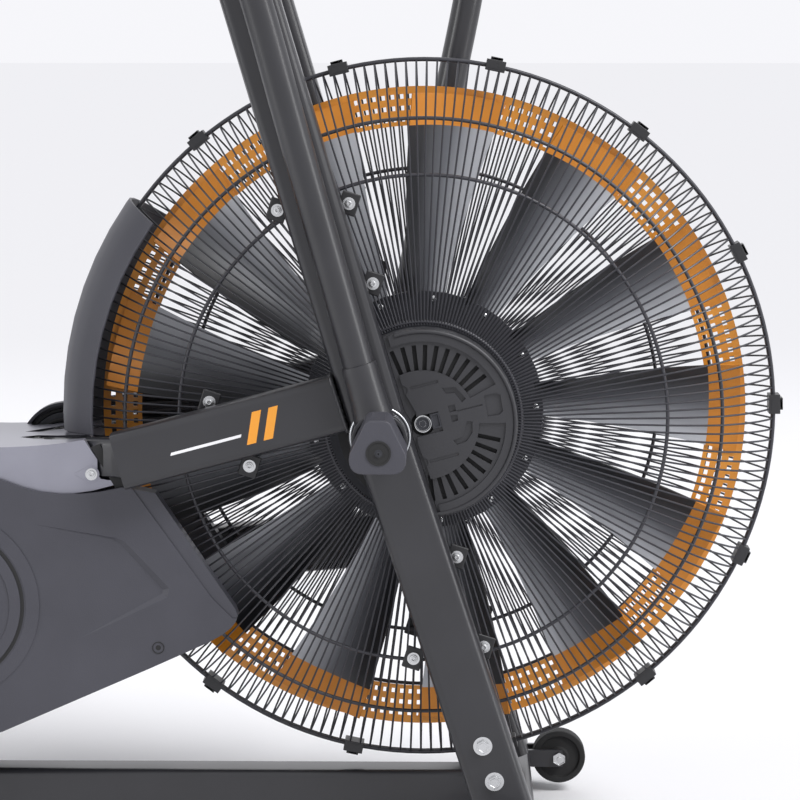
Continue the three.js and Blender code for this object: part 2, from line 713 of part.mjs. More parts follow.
const FAN_PLATE = 4;
const FAN_RING_Y = 12;
const fanHub = cut(
  join(
    plate(disc(FAN_DISC_RADIUS), -FAN_PLATE / 2, FAN_PLATE / 2, 18),
    drum(HUB, 28, -52, 74, 20),
    drum(HUB, 16, 70, SECOND_BELT_Y, 16),
    drum(HUB, FAN_PULLEY, SECOND_BELT_Y - BELT.width / 2, SECOND_BELT_Y + BELT.width / 2, 28),
  ),
  drum(HUB, AXLE_RADIUS + 0.1, -60, 110, 24),
);
add("fan_hub", fanHub, fanCoat);

const ringShape = disc(FAN_RADIUS);
ringShape.holes.push(new THREE.Path(disc(FAN_RADIUS - FAN_RING_WIDTH).getPoints(26)));
add("fan_ring", plate(ringShape, FAN_RING_Y, FAN_RING_Y + 2, 26), orangeCoat);

// One scooped blade: flat at its trailing side, curling towards the viewer's right to a front edge.
function bladeGeometry(edgeAngle) {
  const radii = [FAN_DISC_RADIUS + 0.5, (FAN_DISC_RADIUS + FAN_RADIUS) / 2, FAN_RADIUS - 1];
  const columns = 4;
  const half = 0.8;
  const positions = [];
  const faces = [];
  const spot = (radius, t, side) => {
    const reach = (radius - FAN_DISC_RADIUS) / (FAN_RADIUS - FAN_DISC_RADIUS);
    const angle = edgeAngle + 5 * DEGREE * (1 - reach) - BLADE_ANGLE * (1 - t);
    const depth = BLADE_BACK - BLADE_FRONT;
    const width = BLADE_ANGLE * radius;
    const slope = (2 * t * depth) / width;
    const tilt = Math.atan(slope);
    const lift = side * half;
    const turn = angle + (lift * Math.sin(tilt)) / radius;
    const y = BLADE_BACK - depth * t * t + lift * Math.cos(tilt);
    return [HUB.x + radius * Math.cos(turn), y, HUB.z + radius * Math.sin(turn)];
  };
  [-1, 1].forEach((side) => {
    radii.forEach((radius) => {
      for (let column = 0; column < columns; column += 1) {
        positions.push(...spot(radius, column / (columns - 1), side));
      }
    });
  });
  const at = (side, row, column) => (side * radii.length + row) * columns + column;
  const quad = (a, b, c, d) => faces.push(a, b, c, a, c, d);
  for (let row = 0; row < radii.length - 1; row += 1) {
    for (let column = 0; column < columns - 1; column += 1) {
      quad(at(0, row, column), at(0, row + 1, column), at(0, row + 1, column + 1), at(0, row, column + 1));
      quad(at(1, row, column), at(1, row, column + 1), at(1, row + 1, column + 1), at(1, row + 1, column));
    }
    quad(at(0, row, 0), at(1, row, 0), at(1, row + 1, 0), at(0, row + 1, 0));
    const edge = columns - 1;
    quad(at(0, row, edge), at(0, row + 1, edge), at(1, row + 1, edge), at(1, row, edge));
  }
  const last = radii.length - 1;
  for (let column = 0; column < columns - 1; column += 1) {
    quad(at(0, 0, column), at(0, 0, column + 1), at(1, 0, column + 1), at(1, 0, column));
    quad(at(0, last, column), at(1, last, column), at(1, last, column + 1), at(0, last, column + 1));
  }
  const geometry = new THREE.BufferGeometry();
  geometry.setAttribute("position", new THREE.Float32BufferAttribute(positions, 3));
  geometry.setIndex(faces);
  return geometry;
}

for (let i = 0; i < BLADE_COUNT; i += 1) {
  const number = String(i + 1).padStart(2, "0");
  const angle = 9 * DEGREE + (i / BLADE_COUNT) * 2 * Math.PI;
  add(`fan_blade_${number}`, bladeGeometry(angle), fanCoat);
}

// ---- Cranks, pedals and pulleys -----------------------------------------------------------------

const CRANK_AXLE_RADIUS = 12.5;
const SPINDLE_RADIUS = 7;
const CRANK_ARM_WIDTH = 14;

add("crank_axle", drum(CRANK, CRANK_AXLE_RADIUS, -CRANK_Y - 6, CRANK_Y + 6, 28), steel);

const pulleyHoles = Array.from({ length: 5 }, (_, i) => {
  const angle = (i / 5) * 2 * Math.PI;
  const centre = { x: CRANK.x + 58 * Math.cos(angle), z: CRANK.z + 58 * Math.sin(angle) };
  return drum(centre, 20, FIRST_BELT_Y - 10, FIRST_BELT_Y + 10, 12);
});
const drivePulley = cut(
  drum(CRANK, CRANK_PULLEY, FIRST_BELT_Y - BELT.width / 2, FIRST_BELT_Y + BELT.width / 2, 40),
  drum(CRANK, CRANK_AXLE_RADIUS + GAP, FIRST_BELT_Y - 10, FIRST_BELT_Y + 10, 28),
  ...pulleyHoles,
);
add("drive_pulley", drivePulley, fanCoat);

const countershaft = cut(
  join(
    drum(IDLER, IDLER_SMALL, FIRST_BELT_Y - BELT.width / 2, FIRST_BELT_Y + BELT.width / 2, 28),
    drum(IDLER, 20, FIRST_BELT_Y - 6, SECOND_BELT_Y, 24),
    drum(IDLER, IDLER_LARGE, SECOND_BELT_Y - BELT.width / 2, SECOND_BELT_Y + BELT.width / 2, 32),
  ),
  drum(IDLER, IDLER_PIN + 0.1, 60, 110, 20),
);
add("countershaft", countershaft, fanCoat);

// `heading` is -1 for the arm that points backwards and 1 for the one that points forwards.
function crankArm(heading, side) {
  const tip = { x: CRANK.x + heading * CRANK_LENGTH, z: CRANK.z };
  const [low, high] = [CRANK_Y - CRANK_ARM_WIDTH / 2, CRANK_Y + CRANK_ARM_WIDTH / 2];
  const outline = beltOutline(CRANK, 21, tip, 14);
  const whole = cut(
    join(plate(outline, low, high, 7), drum(tip, SPINDLE_RADIUS, CRANK_Y, PEDAL_Y + PEDAL.width / 2 + 2, 20)),
    drum(CRANK, CRANK_AXLE_RADIUS + GAP, low - 5, high + 5, 28),
  );
  return side < 0 ? mirrored(whole) : whole;
}

function pedal(heading, side) {
  const tip = { x: CRANK.x + heading * CRANK_LENGTH, z: CRANK.z };
  const block = bar(
    roundedRect(PEDAL.height, PEDAL.length, 9),
    new THREE.Vector3(tip.x, PEDAL_Y - PEDAL.width / 2, tip.z),
    new THREE.Vector3(tip.x, PEDAL_Y + PEDAL.width / 2, tip.z),
    new THREE.Vector3(1, 0, 0),
  );
  const whole = cut(block, drum(tip, SPINDLE_RADIUS + 0.1, CRANK_Y, PEDAL_Y + PEDAL.width, 20));
  return side < 0 ? mirrored(whole) : whole;
}

add("crank_arm_right", crankArm(-1, -1), steel);
add("crank_arm_left", crankArm(1, 1), steel);
add("pedal_right", pedal(-1, -1), blackPlastic);
add("pedal_left", pedal(1, 1), blackPlastic);

// ---- Swinging arms ------------------------------------------------------------------------------

// Each arm is drawn upright with its pivot at the origin, on the left, and then leaned into place.
const ARM_HUB = { radius: 29, near: BOSS_FACE + GAP, far: 196 };
const PIN_RADIUS = 6.5;
const LEVER_LEAN = 12.9 * DEGREE;
const GRIP = { start: 0.79, end: 0.998, radius: 20.5, points: 8 }; // from and to these shares of the arm
const origin = { x: 0, z: 0 };
const armLine = [
  [0, ARM_Y, 60],
  [0, ARM_Y, 200],
  [0, ARM_Y, 340],
  [0, ARM_Y, 470],
  [-6, ARM_Y + 2, 540],
  [-30, ARM_Y + 14, 610],
  [-74, ARM_Y + 36, 672],
  [-124, ARM_Y + 58, 722],
  [-176, ARM_Y + 66, 762],
].map(([x, y, z]) => new THREE.Vector3(x, y, z));

const leverTip = {
  x: -LEVER_LENGTH * Math.sin(LEVER_LEAN),
  z: LEVER_LENGTH * Math.cos(LEVER_LEAN),
};
const armLeftGeometry = cut(
  join(
    drum(origin, ARM_HUB.radius, ARM_HUB.near, ARM_HUB.far, 24),
    bar(ngon(ARM_SOCKET_RADIUS, 12), new THREE.Vector3(0, ARM_Y, 8), new THREE.Vector3(0, ARM_Y, 84)),
    pipe(armLine, ARM_TUBE_RADIUS, 10, 17),
    drum(origin, SHAFT_RADIUS, FRAME_Y - 5, ARM_HUB.near + 2, 24),
    plate(beltOutline(origin, 15, leverTip, 10.5), FRAME_Y - 5, FRAME_Y + 5, 8),
  ),
  drum(origin, PIN_RADIUS + 0.1, FRAME_Y - 20, ARM_HUB.far + 5, 24),
);

const gripLine = new THREE.CatmullRomCurve3(armLine);
const gripPoints = Array.from({ length: GRIP.points }, (_, i) => {
  const share = i / (GRIP.points - 1);
  return gripLine.getPointAt(GRIP.start + share * (GRIP.end - GRIP.start));
});
const gripLeftGeometry = cut(
  pipe(gripPoints, GRIP.radius, 10, 10),
  pipe(armLine, ARM_TUBE_RADIUS + GAP, 10, 17),
);

function placeArm(side, arm, grip, lean) {
  const group = new THREE.Group();
  group.position.set(PIVOT.x, 0, PIVOT.z);
  group.rotation.y = lean;
  bike.add(group);
  add(`arm_${side}`, arm, frameCoat, group);
  add(`grip_${side}`, grip, foam, group);
}

placeArm("right", mirrored(armLeftGeometry), mirrored(gripLeftGeometry), -ARM_BACK_LEAN);
placeArm("left", armLeftGeometry, gripLeftGeometry, ARM_SWING - ARM_BACK_LEAN);

// The rods run inside the main tubes from the cranks' side to the arms' levers.
const ROD_RADIUS = 7;
const LEVER_CLEARANCE = 17;
function leverTipAt(lean) {
  const back = LEVER_LEAN - lean;
  return { x: PIVOT.x - LEVER_LENGTH * Math.sin(back), z: PIVOT.z + LEVER_LENGTH * Math.cos(back) };
}
function rod(y, lean) {
  const run = MAIN_TUBE_FRONT.x - MAIN_TUBE_REAR.x;
  const tubeLength = Math.hypot(run, MAIN_TUBE_FRONT.z - MAIN_TUBE_REAR.z);
  const tip = (leverTipAt(lean).x - MAIN_TUBE_REAR.x) / run;
  return bar(
    ngon(ROD_RADIUS, 16),
    point(along(MAIN_TUBE_REAR, MAIN_TUBE_FRONT, tip - 0.98), y),
    point(along(MAIN_TUBE_REAR, MAIN_TUBE_FRONT, tip - LEVER_CLEARANCE / tubeLength), y),
  );
}
add("link_rod_right", rod(-FRAME_Y, -ARM_BACK_LEAN), steel);
add("link_rod_left", rod(FRAME_Y, ARM_SWING - ARM_BACK_LEAN), steel);

// ---- Foot pegs ----------------------------------------------------------------------------------

const PEG = { near: ARM_HUB.far + 2, far: 274 };
function pegShape() {
  const shape = new THREE.Shape();
  shape.moveTo(PIVOT.x - 8, PIVOT.z + 31);
  shape.lineTo(PIVOT.x + 8, PIVOT.z + 31);
  shape.quadraticCurveTo(PIVOT.x + 13, PIVOT.z + 30, PIVOT.x + 15, PIVOT.z + 24);
  shape.lineTo(PIVOT.x + 28, PIVOT.z - 2);
  shape.bezierCurveTo(PIVOT.x + 31, PIVOT.z - 14, PIVOT.x + 26, PIVOT.z - 23, PIVOT.x + 14, PIVOT.z - 23);
  shape.lineTo(PIVOT.x - 14, PIVOT.z - 23);
  shape.bezierCurveTo(PIVOT.x - 26, PIVOT.z - 23, PIVOT.x - 31, PIVOT.z - 14, PIVOT.x - 28, PIVOT.z - 2);
  shape.lineTo(PIVOT.x - 15, PIVOT.z + 24);
  shape.quadraticCurveTo(PIVOT.x - 13, PIVOT.z + 30, PIVOT.x - 8, PIVOT.z + 31);
  return shape;
}
const pegLeft = join(
  plate(pegShape(), PEG.near, PEG.far, 6),
  drum(PIVOT, PIN_RADIUS, FRAME_Y - 14, PEG.near + 2, 24),
);
add("foot_peg_right", mirrored(pegLeft), shroudPlastic);
add("foot_peg_left", pegLeft, shroudPlastic);

// ---- Transport wheels ---------------------------------------------------------------------------

function wheel(side) {
  const y = side * WHEEL.y;
  return cut(
    drum(WHEEL, WHEEL.radius, y - WHEEL.width / 2, y + WHEEL.width / 2, 32),
    drum(WHEEL, 5.1, y - 20, y + 20, 16),
  );
}
add("wheel_right", wheel(-1), rubber);
add("wheel_left", wheel(1), rubber);

// ---- Console on its mast ------------------------------------------------------------------------

const MAST = { height: 46, width: 34 };
const bridgePlace = along(PIVOT, UPRIGHT_TOP, 0.955);
const innerFace = FRAME_Y - TUBE_WIDTH / 2 - GAP;
const mast = join(
  bar(
    roundedRect(34, 50, 8),
    new THREE.Vector3(bridgePlace.x, -innerFace, bridgePlace.z),
    new THREE.Vector3(bridgePlace.x, innerFace, bridgePlace.z),
    new THREE.Vector3(1, 0, 0),
  ),
  bar(roundedRect(MAST.height, MAST.width, 8), point(bridgePlace, 0), point(MAST_TOP, 0)),
);
add("console_mast", mast, frameCoat);

const consoleBody = new THREE.ExtrudeGeometry(roundedRect(CONSOLE.width - 12, CONSOLE.height - 12, 14), {
  depth: CONSOLE.depth - 12,
  bevelThickness: 6,
  bevelSize: 6,
  bevelSegments: 1,
  curveSegments: 3,
});
consoleBody.translate(0, 0, -(CONSOLE.depth - 12) / 2);
const screenRecess = new THREE.BoxGeometry(CONSOLE.width - 50, 84, 8);
screenRecess.translate(0, 14, CONSOLE.depth / 2);
const consoleShell = cut(consoleBody, screenRecess);
consoleShell.rotateX(Math.PI / 2);
consoleShell.rotateZ(-Math.PI / 2);
consoleShell.rotateY(-CONSOLE.tilt);
consoleShell.translate(CONSOLE.x, 0, CONSOLE.z);
const mastWrap = bar(
  roundedRect(MAST.height + 2 * GAP, MAST.width + 2 * GAP, 8),
  point(bridgePlace, 0),
  point(along(bridgePlace, MAST_TOP, 1.01), 0),
);
add("console", cut(consoleShell, mastWrap), blackPlastic);

// ---- Seat ---------------------------------------------------------------------------------------

const RAIL = { length: 190, width: 44, height: 16, z: 772 };
const postTop = seatAxisAt(RAIL.z);
const post = join(
  bar(
    roundedRect(SEAT_TUBE.width - 2 * SEAT_TUBE.wall - 0.8, SEAT_TUBE.depth - 2 * SEAT_TUBE.wall - 0.8, 5),
    point(seatAxisAt(340), 0),
    point(postTop, 0),
  ),
  railBox(RAIL.length, RAIL.width, RAIL.height, postTop.x, RAIL.z + RAIL.height / 2),
);

function railBox(length, width, height, x, z) {
  const box = new THREE.BoxGeometry(length, width, height);
  box.translate(x, 0, z);
  return box;
}
add("seat_post", post, silverCoat);

const CARRIAGE = { length: 96, width: 66, height: 36 };
const railMiddle = RAIL.z + RAIL.height / 2;
const carriage = cut(
  railBox(CARRIAGE.length, CARRIAGE.width, CARRIAGE.height, postTop.x, railMiddle + 4),
  railBox(RAIL.length + 40, RAIL.width + 1, RAIL.height + 1, postTop.x, railMiddle),
  railBox(CARRIAGE.length + 2, 56, 30, postTop.x, railMiddle - 15),
);
add("seat_slider", carriage, frameCoat);

const SADDLE = { length: 268, width: 236, thickness: 48 };
const saddleBottom = railMiddle + 4 + CARRIAGE.height / 2 + GAP;
const saddleShape = new THREE.Shape();
const nose = postTop.x + SADDLE.length * 0.58;
const tail = postTop.x - SADDLE.length * 0.42;
const hip = SADDLE.width / 2;
saddleShape.moveTo(nose - 30, -30);
saddleShape.quadraticCurveTo(nose, -26, nose, 0);
saddleShape.quadraticCurveTo(nose, 26, nose - 30, 30);
saddleShape.bezierCurveTo(nose - 110, 40, tail + 130, hip, tail + 60, hip);
saddleShape.bezierCurveTo(tail + 10, hip, tail, hip / 2, tail, 0);
saddleShape.bezierCurveTo(tail, -hip / 2, tail + 10, -hip, tail + 60, -hip);
saddleShape.bezierCurveTo(tail + 130, -hip, nose - 110, -40, nose - 30, -30);
const saddle = new THREE.ExtrudeGeometry(saddleShape, {
  depth: SADDLE_TOP - saddleBottom - 20,
  bevelThickness: 10,
  bevelSize: 10,
  bevelOffset: -10,
  bevelSegments: 2,
  curveSegments: 6,
});
saddle.translate(0, 0, saddleBottom + 10);
add("saddle", saddle, padCover);

const pinTip = pinCentre.clone().addScaledVector(seatSide, SEAT_TUBE.width / 2 - SEAT_TUBE.wall + 0.4);
const knobFoot = pinTip.clone().addScaledVector(seatSide, SEAT_TUBE.wall + 6);
const knobEnd = knobFoot.clone().addScaledVector(seatSide, 30);
add("post_knob", join(
  bar(ngon(6.5, 20), pinTip, knobEnd),
  bar(ngon(19, 24), knobFoot, knobEnd),
), blackPlastic);

const leverPin = { x: postTop.x, z: railMiddle };
const leverEnd = { x: postTop.x + 62, z: railMiddle - 8 };
const carriageSide = -CARRIAGE.width / 2;
const sliderLever = join(
  drum(leverPin, 9, carriageSide - 16, carriageSide - GAP, 20),
  plate(beltOutline(leverPin, 9, leverEnd, 7), carriageSide - 16, carriageSide - 8, 8),
);
add("slider_lever", sliderLever, blackPlastic);

export default bike;
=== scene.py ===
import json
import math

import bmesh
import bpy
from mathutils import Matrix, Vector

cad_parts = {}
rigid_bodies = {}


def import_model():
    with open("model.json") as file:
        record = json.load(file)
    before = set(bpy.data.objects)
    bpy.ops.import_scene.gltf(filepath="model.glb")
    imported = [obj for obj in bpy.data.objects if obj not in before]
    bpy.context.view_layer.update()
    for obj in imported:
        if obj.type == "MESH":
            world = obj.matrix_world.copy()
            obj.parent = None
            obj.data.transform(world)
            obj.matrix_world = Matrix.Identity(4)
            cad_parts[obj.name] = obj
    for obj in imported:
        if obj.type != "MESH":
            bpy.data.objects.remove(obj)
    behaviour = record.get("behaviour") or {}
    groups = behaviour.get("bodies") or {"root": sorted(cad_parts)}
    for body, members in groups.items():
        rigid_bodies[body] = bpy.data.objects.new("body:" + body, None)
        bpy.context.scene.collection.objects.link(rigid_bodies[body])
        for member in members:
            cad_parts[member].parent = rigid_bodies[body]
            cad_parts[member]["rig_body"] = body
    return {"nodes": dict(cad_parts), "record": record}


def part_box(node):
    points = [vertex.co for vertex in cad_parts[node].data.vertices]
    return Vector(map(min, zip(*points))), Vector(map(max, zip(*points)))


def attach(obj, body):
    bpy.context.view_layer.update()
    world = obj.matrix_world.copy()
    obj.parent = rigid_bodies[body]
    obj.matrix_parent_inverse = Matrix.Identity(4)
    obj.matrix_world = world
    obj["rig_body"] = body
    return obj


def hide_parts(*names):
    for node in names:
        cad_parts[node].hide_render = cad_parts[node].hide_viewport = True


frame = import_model()

# %% [markdown]
# # A dual-action air bike, from a bare frame to a finished model
# The bike is pedalled against a big fan that turns in a round wire cage. Two arms swing with the
# pedals. The plain solids of the bike are loaded above, each in its real place. Every cell below
# first says what a piece is on the real bike, how it could be made, and why this way was chosen.
# All lengths are in metres; +X is forward, +Y is the rider's left and +Z is up.

# a new file brings its own cube, lamp and camera
for stray in [obj for obj in bpy.data.objects
              if "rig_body" not in obj and not obj.name.startswith("body:")]:
    bpy.data.objects.remove(stray)

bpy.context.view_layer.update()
MM = 0.001

# %% [markdown]
# ## Places that many pieces share
# The fan turns about the hub, both arms turn about the pivot and the cranks about the crank
# centre. They are written once here, so that a piece never guesses where its neighbour is.

# %% Centres
HUB = Vector((0.252, 0, 0.480))
PIVOT = Vector((0.208, 0, 0.471))
CRANK = Vector((-0.258, 0, 0.283))
UPRIGHT_TOP = Vector((0.024, 0, 1.090))
UPRIGHT_FOOT = Vector((0.342, 0, 0.062))
MAIN_REAR = Vector((-0.068, 0, 0.441))
MAIN_FRONT = Vector((0.171, 0, 0.505))
ORIGIN = Vector((0, 0, 0))
FRAME_Y = 0.132
SIDES = {"right": -1, "left": 1}

# %% [markdown]
# ## Small tools
# Blender's operators act on whatever is selected, so each step starts by selecting one object and
# nothing else. `settle` puts a finished piece's place into its mesh: its object then sits at the
# origin, and a pattern that reads object coordinates stays put.

# %% Selecting and settling
def pick(*objects):
    if bpy.context.object and bpy.context.object.mode != "OBJECT":
        bpy.ops.object.mode_set(mode="OBJECT")
    bpy.ops.object.select_all(action="DESELECT")
    for obj in objects:
        obj.select_set(True)
    bpy.context.view_layer.objects.active = objects[0]


def settle(obj, name):
    pick(obj)
    bpy.ops.object.transform_apply(location=True, rotation=True, scale=True)
    obj.name = name
    obj.data.name = name
    return obj


def start(operator, **settings):
    """Adds a primitive with nothing else selected, and returns it."""
    if bpy.context.object and bpy.context.object.mode != "OBJECT":
        bpy.ops.object.mode_set(mode="OBJECT")
    bpy.ops.object.select_all(action="DESELECT")
    operator(**settings)
    return bpy.context.object


def choose_faces(obj, test):
    """Goes into edit mode with just the faces selected whose middle and normal pass the test."""
    pick(obj)
    bpy.ops.object.mode_set(mode="EDIT")
    bpy.ops.mesh.select_mode(type="FACE")
    bpy.ops.mesh.select_all(action="DESELECT")
    bpy.ops.object.mode_set(mode="OBJECT")
    chosen = [test(face.center, face.normal) for face in obj.data.polygons]
    obj.data.polygons.foreach_set("select", chosen)
    bpy.ops.object.mode_set(mode="EDIT")
    return sum(chosen)


def done():
    bpy.ops.object.mode_set(mode="OBJECT")


def box_at(place, size, name, lean=0.0):
    """A box of that size about a place, leaned about Y."""
    obj = start(bpy.ops.mesh.primitive_cube_add, size=1, location=place)
    obj.scale = size
    obj.rotation_euler = (0, lean, 0)
    return settle(obj, name)


def rod(place, radius, depth, sides, name, upright=False):
    """A cylinder about a place; it lies across the bike unless it is upright."""
    obj = start(bpy.ops.mesh.primitive_cylinder_add, vertices=sides, radius=radius, depth=depth,
                location=place, rotation=(0 if upright else math.pi / 2, 0, 0))
    return settle(obj, name)


def pull(offset):
    """Extrudes the chosen faces and moves them by the offset."""
    bpy.ops.mesh.extrude_region_move(TRANSFORM_OT_translate={"value": offset})


def step_in(obj, test, border, offset):
    """Insets the faces that pass the test and moves the part inside the border, which leaves a step."""
    choose_faces(obj, test)
    bpy.ops.mesh.inset(thickness=border)
    pull(offset)
    done()
    return obj


def modifier(obj, kind, **settings):
    """Adds a modifier, sets it up and applies it."""
    pick(obj)
    made = obj.modifiers.new(kind.title(), kind)
    for key, value in settings.items():
        setattr(made, key, value)
    bpy.ops.object.modifier_apply(modifier=made.name)
    return obj


def round_edges(obj, width, segments=2, angle=35, smooth=35):
    """Rounds the sharp edges a little, as on every real edge, and smooths the shading between them."""
    modifier(obj, "BEVEL", width=width, segments=segments, limit_method="ANGLE",
             angle_limit=math.radians(angle))
    pick(obj)
    bpy.ops.object.shade_smooth_by_angle(angle=math.radians(smooth))
    modifier(obj, "WEIGHTED_NORMAL", keep_sharp=True)  # only the rounding bends the shading
    return obj


def joined(pieces, name):
    pick(*pieces)
    if len(pieces) > 1:
        bpy.ops.object.join()
    return settle(bpy.context.object, name)


def copied(obj, matrix):
    """A copy with its own mesh, moved by the matrix."""
    twin = obj.copy()
    twin.data = obj.data.copy()
    twin.data.transform(matrix)
    bpy.context.collection.objects.link(twin)
    return twin


def turned_about(centre, angle, axis="Y"):
    return Matrix.Translation(centre) @ Matrix.Rotation(angle, 4, axis) @ Matrix.Translation(-centre)


def ring_of(obj, angles, name, centre=HUB):
    """Copies the piece round the centre, once for each angle, and joins the copies."""
    copies = [copied(obj, turned_about(centre, -angle)) for angle in angles]
    bpy.data.objects.remove(obj)
    return joined(copies, name)


def finish_piece(obj, body, material, slot, *nodes):
    """Gives the piece its material and its body, and says which plain solids it stands for; slot is not
    used.
    """
    if material is not None:
        obj.data.materials.clear()
        obj.data.materials.append(material)
    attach(obj, body)
    if nodes:
        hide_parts(*nodes)
    print(f"{obj.name}: {len(obj.data.polygons)} faces on {body}")
    return obj

# %% [markdown]
# ## A tube that follows a line
# Wires, handle tubes and piping are all a round section carried along a line. A curve with a
# bevel would do, but a circle that is extruded point by point shows what happens: each new ring
# is turned square to the line, and the two ends are capped.

# %% Sweeping a circle along points
def sweep(points, radius, sides=12, name="tube", closed=False):
    points = [Vector(p) for p in points]
    radii = list(radius) if hasattr(radius, "__len__") else [radius] * len(points)
    obj = start(bpy.ops.mesh.primitive_circle_add, vertices=sides, radius=1, fill_type="NOTHING")
    flat = [vertex.co.copy() for vertex in obj.data.vertices]
    side = None
    frames = []
    count = len(points)
    for i, spot in enumerate(points):
        before = points[i - 1] if i > 0 or closed else spot
        after = points[(i + 1) % count] if i < count - 1 or closed else spot
        ahead = (after - before).normalized()
        if side is None:
            side = ahead.orthogonal().normalized()
        side = (side - ahead * side.dot(ahead)).normalized()
        up = ahead.cross(side)
        frames.append([spot + (side * c.x + up * c.y) * radii[i] for c in flat])
    bpy.ops.object.mode_set(mode="EDIT")
    bpy.ops.mesh.select_all(action="SELECT")
    shape = bmesh.from_edit_mesh(obj.data)
    for vertex, place in zip(shape.verts, frames[0]):
        vertex.co = place
    for last, ring in zip(frames, frames[1:]):
        bpy.ops.mesh.extrude_edges_move()
        shape = bmesh.from_edit_mesh(obj.data)
        for vertex in shape.verts:
            if vertex.select:  # an extruded corner still lies on the ring that it came from
                nearest = min(range(sides), key=lambda k: (vertex.co - last[k]).length)
                vertex.co = ring[nearest]
    if closed:
        shape = bmesh.from_edit_mesh(obj.data)
        for vertex in shape.verts:
            if min((vertex.co - place).length for place in frames[0]) < 1e-6:
                vertex.select_set(True)
        shape.select_flush(True)
        bpy.ops.mesh.bridge_edge_loops()
    else:
        bpy.ops.mesh.select_all(action="DESELECT")
        bpy.ops.mesh.select_mode(type="EDGE")
        bpy.ops.mesh.select_non_manifold()
        bpy.ops.mesh.edge_face_add()
        bpy.ops.mesh.select_mode(type="VERT")
    bpy.ops.mesh.select_all(action="SELECT")
    bpy.ops.mesh.normals_make_consistent(inside=False)
    done()
    pick(obj)
    bpy.ops.object.shade_smooth_by_angle(angle=math.radians(50))
    return settle(obj, name)


wire_test = sweep([(0, 0, 0), (0, 0, 1), (0, 1, 1)], 0.1)
print("a bent tube of three points has", len(wire_test.data.polygons), "faces")
bpy.data.objects.remove(wire_test)

# %% [markdown]
# ## Colours and nodes
# A colour picked on a screen is sRGB, and a shader wants linear light, so one function turns the
# one into the other. Another adds a node with its settings and links, because every material
# below is a small net of them.

# %% Colour and node helpers
def linear(hex_code):
    shares = [int(hex_code[i:i + 2], 16) / 255 for i in (1, 3, 5)]
    return (*(c / 12.92 if c <= 0.04045 else ((c + 0.055) / 1.055) ** 2.4 for c in shares), 1)


def add_node(tree, kind, inputs=None, **settings):
    made = tree.nodes.new(kind)
    for key, value in settings.items():
        setattr(made, key, value)
    for key, value in (inputs or {}).items():
        if isinstance(value, bpy.types.NodeSocket):
            tree.links.new(value, made.inputs[key])
        else:
            made.inputs[key].default_value = value
    return made


def blend(tree, share, first, second):
    """One colour turning into another as share goes from 0 to 1; a colour may be a socket."""
    made = tree.nodes.new("ShaderNodeMix")
    made.data_type = "RGBA"
    factor, from_colour, to_colour = made.inputs[0], made.inputs[6], made.inputs[7]
    tree.links.new(share, factor)
    for socket, colour in ((from_colour, first), (to_colour, second)):
        if isinstance(colour, bpy.types.NodeSocket):
            tree.links.new(colour, socket)
        else:
            socket.default_value = colour
    return made.outputs[2]


def new_material(name, metallic=0.0, ior=1.5, coat=0.0):
    """A material with a Principled shader, its node tree and its object coordinates."""
    material = bpy.data.materials.new(name)
    material.use_nodes = True
    tree = material.node_tree
    shader = tree.nodes["Principled BSDF"]
    shader.inputs["Metallic"].default_value = metallic
    shader.inputs["IOR"].default_value = ior
    shader.inputs["Coat Weight"].default_value = coat
    place = add_node(tree, "ShaderNodeTexCoord").outputs["Object"]
    return material, tree, shader, place

# %% [markdown]
# ## Coatings and moulded plastic
# Powder coat is sprayed on dry and baked: it flows into a skin with a faint orange peel, a
# millimetre or two from bump to bump. Moulded plastic carries the grain of its mould, which is
# finer and sharper. Both need the same net: a broad noise that shifts the colour and the gloss a
# little, and a fine one that raises the surface. The grain is drawn about twice as coarse as the
# real one, because the real one is too fine to show at this distance.

# %% Coated and moulded surfaces
def grained(name, dark, light, roughness, grain, height, metallic=0.0, coat=0.0, ior=1.5, sharp=False):
    """grain is the distance between bumps and height their size, both in metres."""
    material, tree, shader, place = new_material(name, metallic, ior, coat)
    cloudy = add_node(tree, "ShaderNodeTexNoise", {"Vector": place, "Scale": 1 / 0.06, "Detail": 4.0})
    tint = blend(tree, cloudy.outputs["Fac"], linear(dark), linear(light))
    tree.links.new(tint, shader.inputs["Base Color"])
    gloss = add_node(tree, "ShaderNodeMapRange", {"Value": cloudy.outputs["Fac"]})
    gloss.inputs["To Min"].default_value = roughness - 0.04
    gloss.inputs["To Max"].default_value = roughness + 0.05
    tree.links.new(gloss.outputs["Result"], shader.inputs["Roughness"])
    if sharp:
        cells = add_node(tree, "ShaderNodeTexVoronoi", {"Vector": place, "Scale": 1 / grain})
        raised = cells.outputs["Distance"]
    else:
        peel = add_node(tree, "ShaderNodeTexNoise", {"Vector": place, "Scale": 1 / grain, "Detail": 2.0})
        raised = peel.outputs["Fac"]
    bump = add_node(tree, "ShaderNodeBump", {"Height": raised, "Distance": height, "Strength": 0.6})
    tree.links.new(bump.outputs["Normal"], shader.inputs["Normal"])
    return material


powder_coat = grained("satin_powder_coat", "#232326", "#2e2e32", 0.34, 1.6 * MM, 0.09 * MM, coat=0.12)
shroud_abs = grained("textured_abs", "#37373e", "#44444c", 0.46, 1.3 * MM, 0.12 * MM, sharp=True)
black_pp = grained("moulded_black_polypropylene", "#1c1c1e", "#28282b", 0.44, 1.3 * MM, 0.1 * MM,
                   sharp=True)
cover_nylon = grained("moulded_cover_nylon", "#29292c", "#353539", 0.40, 1.3 * MM, 0.1 * MM, sharp=True)
wire_coat = grained("dipped_wire_coat", "#2c2c31", "#3a3a40", 0.38, 3 * MM, 0.04 * MM, metallic=0.2)
fan_coat = grained("satin_fan_coat", "#2d2e32", "#393a40", 0.42, 1.5 * MM, 0.05 * MM, metallic=0.3)
orange_coat = grained("orange_powder_coat", "#e2912c", "#f0a542", 0.42, 1.4 * MM, 0.08 * MM, coat=0.15)
